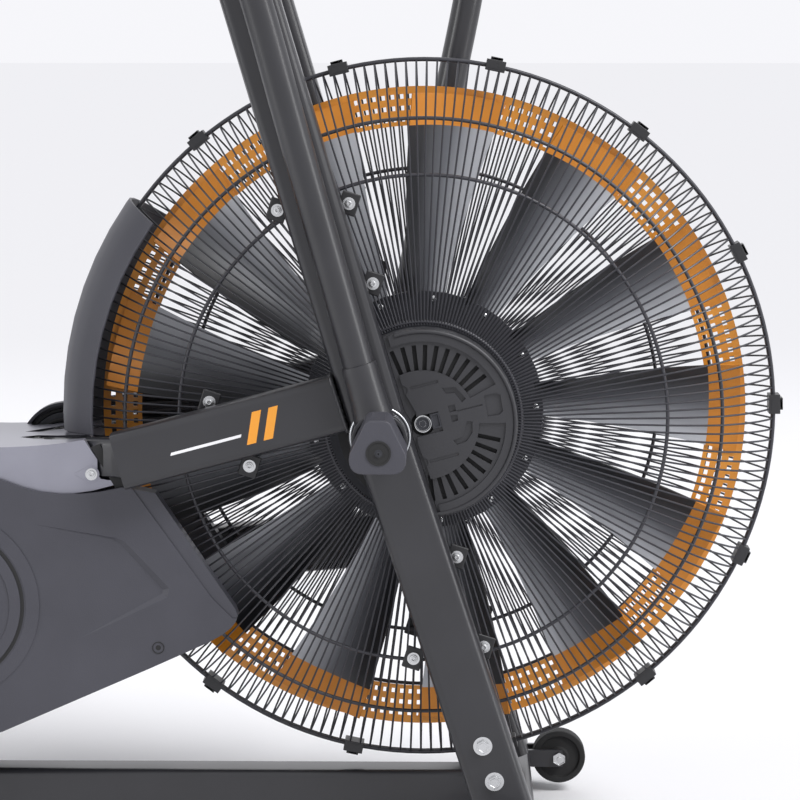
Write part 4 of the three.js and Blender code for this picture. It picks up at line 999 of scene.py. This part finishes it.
# %% The raised plate and its recesses
COVER_FACE = -0.120
PLATE = 2.6 * MM
plate_front = COVER_FACE - PLATE
hub_plate = prism(circle(0, 0, 99.5, 120), COVER_FACE + 0.1 * MM, plate_front, "hub_plate")
THROUGH = (plate_front - 2 * MM, COVER_FACE + 1 * MM)
SHALLOW = (plate_front - 2 * MM, plate_front + 1.2 * MM)
recesses = [
    (fan_window(56.5, 87, 29, 124), THROUGH),
    (fan_window(59, 87, -91, 1), THROUGH),
    ([(64, 30), (76, 33), (81, 31), (84, 14), (80, 10), (68, 8)], THROUGH),
    ([(-17, 5), (16, 13.5), (21.5, -7), (-13, -16)], THROUGH),
    ([(20, 38), (34, 39), (45, 27), (41, 23), (33, 33), (24, 32)], THROUGH),
    ([(52, 3), (52, -9), (46, -18), (36, -22), (32, -17), (42, -13), (46, 3)], THROUGH),
    ([(26, 19), (33, 21), (35, 14), (28, 12)], THROUGH),
    ([(29, 9), (36, 10), (37, 4), (31, 2)], THROUGH),
    (strip(-13, 37.5, 15, 45, 3.4), SHALLOW),
    (strip(8, -39.5, 37, -31.5, 3.4), SHALLOW),
    (strip(36, 14, 62, 20.5, 1.6), SHALLOW),
    (circle(-21, 35, 5), SHALLOW),
    (circle(0.7, -40.7, 5), SHALLOW),
    ([(-170, 200), (-69, 200), (-19.5, 33), (-7, 12), (-5.5, -20), (6.5, -52), (56, -220),
      (-170, -220)], THROUGH),
]
cut_away(hub_plate, *[prism(outline, *depth) for outline, depth in recesses])
round_edges(hub_plate, 0.5 * MM, segments=2, angle=40, smooth=30)
RIM_RADIUS = 97.2
rim_turns = [math.radians(-84 + i * (108 + 84) / 80) for i in range(81)]
rim = sweep([(HUB.x + RIM_RADIUS * MM * math.cos(a), plate_front + 0.6 * MM,
              HUB.z + RIM_RADIUS * MM * math.sin(a)) for a in rim_turns],
            2.6 * MM, sides=10, name="rim")
finish_piece(joined([hub_plate, rim], "hub_cover_plate"), "frame", cover_nylon, "shroud_plastic")
dressed("hub_cover_right", "hub_cover_moulded", cover_nylon, "shroud_plastic", edge=0.6 * MM)
screen = cap((HUB.x, HUB.z), -0.1150, 0.090, 1.2 * MM, -1, 0.3 * MM, "hub_dust_screen", 64)
finish_piece(screen, "frame", natural_rubber, "black_plastic")

# %% [markdown]
# ## Axle bush and tensioner block
# The end of the axle is a bright turned bush. The dark disc in its middle is painted shade for the
# hole in the axle. Beside it on the right is a small leaning block that slides to tighten the belt.

# %% Turning the bush and filing the block
for side, sign in SIDES.items():
    bush = cap((HUB.x, HUB.z), sign * 0.1165, 9.2 * MM, 6.4 * MM, sign, 2.2 * MM,
               f"axle_bush_{side}", 40)
    finish_piece(bush, "frame", zinc_plate, "steel")
    # a dark disc sunk in the bush's middle: painted shade in the axle's hole
    bore_shade = cap((HUB.x, HUB.z), sign * 0.1200, 7.0 * MM, 2.6 * MM, sign, 0.8 * MM, f"axle_end_{side}", 32)
    finish_piece(bore_shade, "frame", fan_coat, "steel")
block = box_at((HUB.x + 0.0135, -0.1206, HUB.z + 0.0035), (0.010, 0.0035, 0.016),
               "tensioner_block", math.radians(-14))
step_in(block, lambda middle, normal: normal.y < -0.9, 0.002, (0, 0.0012, 0))
round_edges(block, 0.4 * MM)
finish_piece(block, "frame", fan_coat, "steel")

# %% [markdown]
# ## Swinging arms
# Each arm is a steel tube that stands in a socket on the pivot and bends inwards and back to the
# grip. A smooth line is drawn through a few points, leaned back about the pivot, and a circle is
# swept along it. The socket is a second, slightly wider sweep that swells into the round boss. A
# short shaft runs inwards from the boss to a lever, which moves the link rod.

# %% A smooth line and the two arms
def smooth_line(points, steps):
    """A Catmull-Rom line through the points, with that many steps between each two."""
    points = [Vector(p) for p in points]
    ends = [2 * points[0] - points[1], *points, 2 * points[-1] - points[-2]]
    line = []
    for a, b, c, d in zip(ends, ends[1:], ends[2:], ends[3:]):
        for k in range(steps):
            t = k / steps
            line.append(0.5 * (2 * b + (c - a) * t + (2 * a - 5 * b + 4 * c - d) * t ** 2
                               + (3 * b - a - 3 * c + d) * t ** 3))
    return [*line, points[-1]]


ARM_Y = 177.2
# forward, up and outward, in millimetres from the pivot
ARM_POINTS = [(0, 60, 0), (0, 200, 0), (0, 340, 0), (0, 470, 0), (-6, 540, 2), (-30, 610, 14),
              (-74, 672, 36), (-124, 722, 58), (-176, 762, 66)]
LEAN = {"right": math.radians(-15.6), "left": math.radians(27 - 15.6)}


def lean_in_place(obj, side):
    obj.data.transform(Matrix.Translation(PIVOT) @ Matrix.Rotation(LEAN[side], 4, "Y"))
    return obj


def arm_line(sign, steps=8):
    return smooth_line([(x * MM, sign * (ARM_Y + y) * MM, z * MM) for x, z, y in ARM_POINTS], steps)


def arm(side, sign):
    tube = sweep(arm_line(sign), 16.4 * MM, sides=28, name="tube")
    heights = [0, 20, 40, 62, 76, 80, 80.5]
    radii = [24, 21.5, 19.4, 18.7, 18.6, 18.2, 17.2]
    socket = sweep([(0, sign * ARM_Y * MM, z * MM) for z in heights], [r * MM for r in radii],
                   sides=32, name="socket")
    boss = rod((0, sign * ARM_Y * MM, 0), 29 * MM, 37.4 * MM, 64, "boss")
    step_in(boss, lambda middle, normal: normal.y * sign > 0.9, 4 * MM, (0, -sign * 1.5 * MM, 0))
    round_edges(boss, 1.6 * MM, segments=3)
    shaft = rod((0, sign * 143.5 * MM, 0), 11.9 * MM, 33 * MM, 40, "shaft")
    round_edges(shaft, 0.8 * MM)
    back = math.radians(12.9)
    tip = (-45 * math.sin(back), 45 * math.cos(back))
    root_arc = [math.radians(190 + 18 * k) for k in range(11)]
    tip_arc = [math.radians(15 + 18 * k) for k in range(11)]
    lever = prism([*[(15 * math.cos(a), 15 * math.sin(a)) for a in root_arc],
                   *[(tip[0] + 10.3 * math.cos(a), tip[1] + 10.3 * math.sin(a)) for a in tip_arc]],
                  sign * 127.2 * MM, sign * 136.8 * MM, "lever", ORIGIN)
    round_edges(lever, 0.8 * MM)
    whole = lean_in_place(joined([tube, socket, boss, shaft, lever], f"arm_{side}_coated"), side)
    return finish_piece(whole, f"arm_{side}", powder_coat, "frame_coat", f"arm_{side}")


for side, sign in SIDES.items():
    arm(side, sign)
    seal = start(bpy.ops.mesh.primitive_torus_add, major_segments=64, minor_segments=10,
                 major_radius=30.6 * MM, minor_radius=1.5 * MM,
                 location=(PIVOT.x, sign * 0.1579, PIVOT.z), rotation=(math.pi / 2, 0, 0))
    bpy.ops.object.shade_smooth()
    finish_piece(settle(seal, f"pivot_ring_{side}"), "frame", brushed_steel, "steel")

# %% [markdown]
# ## Hand grips
# Closed-cell foam is pushed over the end of each arm. It is ribbed for the fingers and ends in a
# round cap. The ribs are the sweep's radius going up and down along the line.

# %% Ribbed foam and its end cap
for side, sign in SIDES.items():
    line = arm_line(sign, steps=24)
    lengths = [0]
    for a, b in zip(line, line[1:]):
        lengths.append(lengths[-1] + (b - a).length)
    on_grip = [p for p, run in zip(line, lengths) if 0.79 < run / lengths[-1] < 0.998]
    radii = []
    for i in range(len(on_grip)):
        from_end = min(i, len(on_grip) - 1 - i)
        swell = 20.4 if from_end > 1 else (18.6, 19.9)[from_end]
        radii.append((swell - (1.1 if i % 3 == 0 and from_end > 2 else 0)) * MM)
    grip = lean_in_place(sweep(on_grip, radii, sides=24, name=f"grip_{side}_foam"), side)
    finish_piece(grip, f"arm_{side}", grip_foam, "grip_foam", f"grip_{side}")

# %% [markdown]
# ## Foot pegs
# Above each pivot stands a fixed peg to rest a foot on while only the arms work. Its end carries a
# dark plug round the screw that holds it, and its top is ribbed.

# %% Pegs, plugs and ribs
PEG = (0.209, 0.4695)  # forward and up
for side, sign in SIDES.items():
    dressed(f"foot_peg_{side}", f"foot_peg_{side}_moulded", shroud_abs, "shroud_plastic",
            edge=2.2 * MM, angle=55)
    plug = cap(PEG, sign * 0.2738, 12.6 * MM, 1.2 * MM, sign, 0.6 * MM, f"peg_plug_{side}", 40)
    finish_piece(plug, "frame", natural_rubber, "black_plastic")
    ribs = []
    for i in range(9):
        rib = box_at((PIVOT.x, sign * (0.205 + i * 0.0072), PIVOT.z + 0.0311),
                     (0.015, 0.0022, 0.0016), "rib")
        ribs.append(round_edges(rib, 0.4 * MM))
    finish_piece(joined(ribs, f"peg_ribs_{side}"), "frame", shroud_abs, "shroud_plastic")
    peg_screw = screws_at([(PEG[0], sign * 0.2743, PEG[1])], 2.6 * MM, f"peg_screw_{side}", sign)
    finish_piece(peg_screw, "frame", fan_coat, "steel")

# %% [markdown]
# ## Cranks and pedals
# A forged crank is drilled at both ends, with a bolt cap over the axle. A pedal is a broad
# moulded platform on a spindle: its top and bottom are sunk between raised rims, studded for grip,
# and a strap arches over it to hold the foot.

# %% Crank arms and their bolt caps
for side, sign in SIDES.items():
    dressed(f"crank_arm_{side}", f"crank_{side}_forged", fan_coat, "steel", edge=1.6 * MM)
    bolt_cap = cap((CRANK.x, CRANK.z), sign * 0.1262, 12 * MM, 3.4 * MM, sign, 1.2 * MM,
                   f"crank_bolt_{side}", 32)
    finish_piece(bolt_cap, "cranks", zinc_plate, "steel")

# %% One pedal platform with studs and strap
PEDAL_Y = 0.182
PEDAL_SPOTS = {"right": CRANK.x - 0.165, "left": CRANK.x + 0.165}


def pedal(side, sign):
    x = PEDAL_SPOTS[side]
    platform = dressed(f"pedal_{side}", f"pedal_{side}_body", black_pp, "black_plastic", edge=0,
                       finished=False)
    for face_up in (1, -1):
        step_in(platform, lambda middle, normal: normal.z * face_up > 0.95, 7 * MM,
                (0, 0, -face_up * 3.5 * MM))
    round_edges(platform, 1.2 * MM, segments=2, angle=40, smooth=40)
    studs = []
    for face_up in (1, -1):
        for column in range(-2, 3):
            for row in (-1, 0, 1):
                stud = start(bpy.ops.mesh.primitive_cone_add, vertices=12, radius1=2.8 * MM,
                             radius2=1.7 * MM, depth=3.4 * MM,
                             rotation=(0 if face_up > 0 else math.pi, 0, 0),
                             location=(x + column * 0.0155, sign * PEDAL_Y + row * 0.026,
                                       CRANK.z + face_up * 11.0 * MM))
                bpy.ops.object.shade_smooth_by_angle(angle=math.radians(40))
                studs.append(settle(stud, "stud"))
    body = joined([platform, *studs], f"pedal_{side}_moulded")
    finish_piece(body, f"pedal_{side}", black_pp, "black_plastic", f"pedal_{side}")
    reflectors = []
    for end in (-1, 1):
        reflector = box_at((x + end * 0.0519, sign * PEDAL_Y, CRANK.z), (0.0022, 0.052, 0.012),
                           "reflector")
        step_in(reflector, lambda middle, normal: normal.x * end > 0.9, 0.0016,
                (-end * 0.0006, 0, 0))
        reflectors.append(round_edges(reflector, 0.4 * MM))
    finish_piece(joined(reflectors, f"pedal_{side}_reflectors"), f"pedal_{side}", silver_coat,
                 "black_plastic")
    turns = [math.radians(a) for a in range(0, 181, 10)]
    arch = [(x, sign * PEDAL_Y + 0.0475 * math.cos(a), CRANK.z - 0.004 + 0.052 * math.sin(a) ** 0.8)
            for a in turns]
    strap = sweep(arch, 5 * MM, sides=12, name=f"pedal_{side}_strap")
    for vertex in strap.data.vertices:  # flattened from a round cord into a band 24 mm wide
        vertex.co.x = x + (vertex.co.x - x) * 2.4
    inward = Vector((0, sign * PEDAL_Y, CRANK.z - 0.004))
    middle_radius = 0.0495
    for vertex in strap.data.vertices:
        offset = Vector((0, vertex.co.y, vertex.co.z)) - inward
        if offset.length > 1e-6:
            squeezed = middle_radius + (offset.length - middle_radius) * 0.45
            vertex.co.y = inward.y + offset.y / offset.length * squeezed
            vertex.co.z = inward.z + offset.z / offset.length * squeezed
    finish_piece(strap, f"pedal_{side}", natural_rubber, "black_plastic")
    buckle = box_at((x, sign * (PEDAL_Y + 0.0515), CRANK.z + 0.010), (0.032, 0.007, 0.020),
                    f"pedal_{side}_buckle")
    step_in(buckle, lambda middle, normal: normal.y * sign > 0.9, 0.005, (0, -sign * 0.002, 0))
    round_edges(buckle, 1 * MM)
    finish_piece(buckle, f"pedal_{side}", black_pp, "black_plastic")


for side, sign in SIDES.items():
    pedal(side, sign)

# %% [markdown]
# ## Saddle
# A saddle is a moulded pan, a foam pad and a vinyl cover stretched over both. The pad begins as a
# slightly smaller copy of the plain saddle, is remeshed into even squares and then blown up a few
# millimetres as cloth under pressure, which crowns its top and rounds its sides the way stretched
# vinyl does. The pan is the lowest slice of the plain shape, and a bead of piping hides the seam.

# %% Blowing up the pad
saddle_low, saddle_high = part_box("saddle")
saddle_middle = (saddle_low + saddle_high) / 2
PAN_HEIGHT = 14 * MM
seam_height = saddle_low.z + PAN_HEIGHT


def cut_at_seam(obj, **part):
    """Cuts along the seam and closes the cut; clear_inner drops the pan and clear_outer the pad."""
    pick(obj)
    bpy.ops.object.mode_set(mode="EDIT")
    bpy.ops.mesh.select_all(action="SELECT")
    bpy.ops.mesh.bisect(plane_co=(0, 0, seam_height), plane_no=(0, 0, 1), use_fill=True, **part)
    bpy.ops.mesh.select_all(action="SELECT")


pad = dressed("saddle", "saddle_pad", saddle_vinyl, "pad_cover", edge=0, finished=False)
cut_at_seam(pad, clear_inner=True)
bpy.ops.transform.resize(value=(0.965, 0.965, 0.93), center_override=(saddle_middle.x, 0, seam_height))
done()
for vertex in pad.data.vertices:  # a shallow channel along the middle, and a dip towards the nose
    share = (vertex.co.z - saddle_low.z - PAN_HEIGHT) / (saddle_high.z - saddle_low.z - PAN_HEIGHT)
    ahead = (vertex.co.x - saddle_low.x) / (saddle_high.x - saddle_low.x)
    if share > 0.5:
        vertex.co.z -= (3 + 9 * max(0, ahead - 0.45)) * MM
modifier(pad, "REMESH", mode="VOXEL", voxel_size=5 * MM)
at_rest = [vertex.co.copy() for vertex in pad.data.vertices]
FOAM_SWELL = 7 * MM
BLOW_FRAMES = 20
pick(pad)
held = pad.vertex_groups.new(name="held")
low_ones = [v.index for v in pad.data.vertices if v.co.z < seam_height + 3 * MM]
held.add(low_ones, 1.0, "REPLACE")
cloth = pad.modifiers.new("Cloth", "CLOTH")
cloth.settings.use_pressure = True
cloth.settings.uniform_pressure_force = 4
cloth.settings.vertex_group_mass = "held"
cloth.settings.effector_weights.gravity = 0
cloth.point_cache.frame_start = 1
cloth.point_cache.frame_end = BLOW_FRAMES
for tick in range(1, BLOW_FRAMES + 1):
    bpy.context.scene.frame_set(tick)
bpy.ops.object.modifier_apply(modifier="Cloth")
bpy.context.scene.frame_set(1)
top_limit = saddle_high.z - 0.6 * MM
for vertex, rest in zip(pad.data.vertices, at_rest):
    moved = vertex.co - rest
    if moved.length > FOAM_SWELL:
        vertex.co = rest + moved.normalized() * FOAM_SWELL
    groove = 3.2 * MM * math.exp(-(vertex.co.y / (9 * MM)) ** 2)
    if rest.z > saddle_middle.z:
        vertex.co.z -= groove
    vertex.co.z = min(vertex.co.z, top_limit)
modifier(pad, "SMOOTH", factor=0.5, iterations=6)
modifier(pad, "SUBSURF", levels=1, render_levels=1)
pick(pad)
bpy.ops.object.shade_smooth()
settle(pad, "saddle_pad")
pad.vertex_groups.clear()
finish_piece(pad, "seat_carriage", saddle_vinyl, "pad_cover", "saddle")

# %% Pan and piping
pan = dressed("saddle", "saddle_pan", black_pp, "black_plastic", edge=0, finished=False)
cut_at_seam(pan, clear_outer=True)
done()
round_edges(pan, 1.2 * MM, segments=2, angle=40)
finish_piece(pan, "seat_carriage", black_pp, "black_plastic")
edge_corners = [v.co.copy() for v in pan.data.vertices if v.co.z > seam_height - 2.5 * MM]
seam_spots = sorted({(round(c.x, 4), round(c.y, 4)) for c in edge_corners},
                    key=lambda c: math.atan2(c[1], c[0] - saddle_middle.x))
outer = []
for spot in seam_spots:
    if not outer or math.dist(outer[-1], spot) > 7 * MM:
        outer.append(spot)
piping = sweep([(x, y, seam_height) for x, y in outer], 2.2 * MM, sides=10, name="saddle_piping",
               closed=True)
finish_piece(piping, "seat_carriage", saddle_vinyl, "pad_cover")

# %% [markdown]
# ## Console
# A moulded housing tilts towards the rider. A clear acrylic window covers the display, and below it
# lie a large rounded button and two rows of small rubber keys without any marks.

# %% Window, keys and housing
CONSOLE = Vector((-0.022, 0, 1.265))
tilt = Matrix.Translation(CONSOLE) @ Matrix.Rotation(math.radians(-12), 4, "Y")
dressed("console", "console_housing", black_pp, "black_plastic", edge=1.4 * MM, angle=40, smooth=40)


def on_console(across, up, out, width, height, depth, edge, name, inset=None):
    """A rounded block on the console's face, placed to the left, up the face and towards the rider."""
    block = box_at((-out, across, up), (depth, width, height), name)
    if inset:
        step_in(block, lambda middle, normal: normal.x < -0.9, inset, (0.4 * inset, 0, 0))
    round_edges(block, edge, segments=3)
    block.data.transform(tilt)
    return block


FACE_OUT = 0.021
glass = on_console(0, 0.014, FACE_OUT - 0.0032, 0.138, 0.082, 0.004, 1 * MM, "console_window")
finish_piece(glass, "frame", display_acrylic, "black_plastic")
keys = [on_console(across, up, FACE_OUT + 0.0012, 0.021, 0.011, 0.004, 1.2 * MM, "key", inset=1.6 * MM)
        for up in (-0.039, -0.056) for across in (-0.066, -0.041, 0.041, 0.066)]
keys.append(on_console(0, -0.048, FACE_OUT + 0.0014, 0.036, 0.020, 0.0044, 3 * MM, "key",
                       inset=2.2 * MM))
finish_piece(joined(keys, "console_keys"), "frame", natural_rubber, "black_plastic")
bezel = sweep([(-FACE_OUT, w * 0.0715, 0.014 + h * 0.0435)
               for w, h in ((-1, -1), (1, -1), (1, 1), (-1, 1))],
              1.4 * MM, sides=8, name="console_bezel", closed=True)
bezel.data.transform(tilt)
finish_piece(bezel, "frame", silver_coat, "black_plastic")

# %% [markdown]
# ## Wheels, feet and end caps
# Two small wheels at the front let one person tip the bike and roll it. Moulded plugs close the
# open ends of the base bars, and ribbed rubber feet stand under them.

# %% Transport wheels
WHEEL = Vector((0.409, 0.232, 0.042))
for side, sign in SIDES.items():
    y = sign * WHEEL.y
    tyre = rod((WHEEL.x, y, WHEEL.z), 31 * MM, 22 * MM, 64, f"wheel_{side}_tyre")
    choose_faces(tyre, lambda middle, normal: abs(normal.y) > 0.9)
    bpy.ops.mesh.inset(thickness=7 * MM, use_individual=True)
    done()
    for out in (-1, 1):
        choose_faces(tyre, lambda middle, normal: normal.y * out > 0.9 and
                     math.hypot(middle.x - WHEEL.x, middle.z - WHEEL.z) < 5 * MM)
        pull((0, -out * 3 * MM, 0))
        bpy.ops.mesh.inset(thickness=13 * MM)
        pull((0, out * 4 * MM, 0))
        done()
    round_edges(tyre, 1.6 * MM, segments=3, angle=40)
    finish_piece(tyre, f"wheel_{side}", natural_rubber, "rubber", f"wheel_{side}")
    nuts = [cap((WHEEL.x, WHEEL.z), y + out * 0.0188, 8 * MM, 4 * MM, out, 1.0 * MM, "nut", 6)
            for out in (-1, 1)]
    finish_piece(joined(nuts, f"wheel_{side}_nuts"), "frame", zinc_plate, "steel")

# %% Feet and end plugs
BARS = [(-0.604, 0.339), (0.344, 0.300)]  # how far forward each base bar lies, and its half length
FOOT_IN = 0.034  # from the bar's end to the middle of its foot
feet, plugs = [], []
for x, half in BARS:
    for sign in SIDES.values():
        y = sign * (half - FOOT_IN)
        foot = rod((x, y, 6.8 * MM), 24.6 * MM, 13.6 * MM, 48, "foot", upright=True)
        choose_faces(foot, lambda middle, normal: normal.z > 0.9)
        bpy.ops.transform.resize(value=(0.9, 0.9, 1), center_override=(x, y, 13 * MM))
        done()
        choose_faces(foot, lambda middle, normal: abs(normal.z) < 0.5)
        bpy.ops.mesh.inset(thickness=3.5 * MM)
        bpy.ops.transform.resize(value=(0.955, 0.955, 1), center_override=(x, y, 7 * MM))
        done()
        feet.append(round_edges(foot, 1 * MM, segments=2))
        plug = box_at((x, sign * (half - 0.0072), 0.034), (0.0535, 0.0138, 0.0335), "plug")
        step_in(plug, lambda middle, normal: normal.y * sign > 0.9, 0.006, (0, -sign * 0.0016, 0))
        plugs.append(round_edges(plug, 2.5 * MM, segments=3))
finish_piece(joined(feet, "rubber_feet"), "frame", natural_rubber, "rubber")
finish_piece(joined(plugs, "base_end_plugs"), "frame", black_pp, "black_plastic")

# %% [markdown]
# ## Bolts that hold the bike together
# Hexagon bolts with washers fasten the uprights to the front bar, the spine to the rear bar and the
# bridge under the console.

# %% Hexagon bolts
def hex_bolt(place, aim, radius=7 * MM):
    """A bolt head at the place, standing out along aim."""
    washer = rod((0, 0, 0.8 * MM), radius * 1.45, 1.6 * MM, 32, "washer", upright=True)
    round_edges(washer, 0.4 * MM)
    head = rod((0, 0, 4.1 * MM), radius, 5 * MM, 6, "head", upright=True)
    step_in(head, lambda middle, normal: normal.z > 0.9, radius * 0.25, (0, 0, -0.6 * MM))
    round_edges(head, 0.5 * MM)
    bolt = joined([washer, head], "bolt")
    stand = Vector(aim).to_track_quat("Z", "Y").to_matrix().to_4x4()
    bolt.data.transform(Matrix.Translation(place) @ stand)
    return bolt


BOLT_FACE = 0.152  # the outer face of an upright, from the bike's middle
bolts = [hex_bolt((-0.604 + dx, dy, 0.054), (0, 0, 1))
         for dx in (-0.012, 0.012) for dy in (-0.045, 0.045)]
lower_run = (UPRIGHT_FOOT - PIVOT).normalized()
for sign in SIDES.values():
    for back in (0.045, 0.085):
        spot = UPRIGHT_FOOT - lower_run * back
        bolts.append(hex_bolt((spot.x, sign * BOLT_FACE, spot.z), (0, sign, 0)))
    for down in (0.018, 0.046):
        spot = UPRIGHT_TOP - (UPRIGHT_TOP - PIVOT).normalized() * down
        bolts.append(hex_bolt((spot.x, sign * BOLT_FACE, spot.z), (0, sign, 0), 6 * MM))
finish_piece(joined(bolts, "frame_bolts"), "frame", zinc_plate, "steel")

# %% Plugs on the open tops of the uprights
upright_run = (UPRIGHT_TOP - PIVOT).normalized()
tops = []
for sign in SIDES.values():
    lid = box_at(ORIGIN, (0.052, 0.033, 0.010), "lid")
    step_in(lid, lambda middle, normal: normal.z > 0.9, 0.006, (0, 0, -0.0015))
    round_edges(lid, 2 * MM, segments=3)
    place = UPRIGHT_TOP - upright_run * 4.6 * MM + Vector((0, sign * FRAME_Y, 0))
    stand = upright_run.to_track_quat("Z", "Y").to_matrix().to_4x4()
    lid.data.transform(Matrix.Translation(place) @ stand)
    tops.append(lid)
finish_piece(joined(tops, "upright_plugs"), "frame", black_pp, "black_plastic")

# %% [markdown]
# ## Floor, light and camera
# The floor is plain and pale, and the room looks bright but gives little light of its own. A soft
# ceiling light from the front right models the forms, two tall strips ahead of the bike and behind
# it draw long highlights on the tubes, and a weak light on the far side lifts the edges. The
# camera stands on the bike's right.

# %% Setting the stage
floor = start(bpy.ops.mesh.primitive_plane_add, size=160, location=(0, 0, 0))
floor.name = "floor"
pale = bpy.data.materials.new("pale_floor")
pale.use_nodes = True
matt = pale.node_tree.nodes["Principled BSDF"].inputs
matt["Base Color"].default_value = linear("#f2f2f5")
matt["Roughness"].default_value = 1.0
matt["Specular IOR Level"].default_value = 0.0
floor.data.materials.append(pale)

SKY_SEEN, SKY_LIGHT = 0.96, 0.32  # how bright the pale room looks, and how much light it gives
world = bpy.data.worlds.new("studio")
world.use_nodes = True
room = world.node_tree
ray = add_node(room, "ShaderNodeLightPath")
share = add_node(room, "ShaderNodeMapRange", {"Value": ray.outputs["Is Diffuse Ray"]})
share.inputs["To Min"].default_value = SKY_SEEN
share.inputs["To Max"].default_value = SKY_LIGHT
room.nodes["Background"].inputs["Color"].default_value = linear("#fbfbff")
room.links.new(share.outputs["Result"], room.nodes["Background"].inputs["Strength"])
bpy.context.scene.world = world


def lamp(name, kind, place, aim, energy, **settings):
    made = start(bpy.ops.object.light_add, type=kind, location=place)
    made.name = name
    made.data.energy = energy
    for key, value in settings.items():
        setattr(made.data, key, value)
    made.rotation_euler = (Vector(aim) - Vector(place)).to_track_quat("-Z", "Y").to_euler()


lamp("ceiling", "SUN", (1.7, -1.5, 2.6), (0, 0, 0), 2.8, angle=math.radians(28))
tall = {"shape": "RECTANGLE", "size": 0.8, "size_y": 2.6}
lamp("strip_right", "AREA", (3.4, -1.2, 1.6), (0.2, 0, 0.6), 34, **tall)
lamp("strip_left", "AREA", (-3.2, -1.4, 1.6), (0, 0, 0.5), 40, **tall)
lamp("back", "AREA", (0.2, 3.4, 3.0), (0.1, 0, 0.6), 16, shape="SQUARE", size=2.4)

lens = bpy.data.cameras.new("camera")
lens.lens = 138.5
lens.sensor_width = 36
lens.clip_end = 200
camera = bpy.data.objects.new("camera", lens)
camera.location = (0.280, -3.320, 0.890)
camera.rotation_euler = (math.radians(90 - 6.86), 0, math.radians(0.93))
bpy.context.scene.collection.objects.link(camera)
bpy.context.scene.camera = camera
bpy.context.scene.view_settings.view_transform = "Standard"

# %% Updating the scene
bpy.context.view_layer.update()
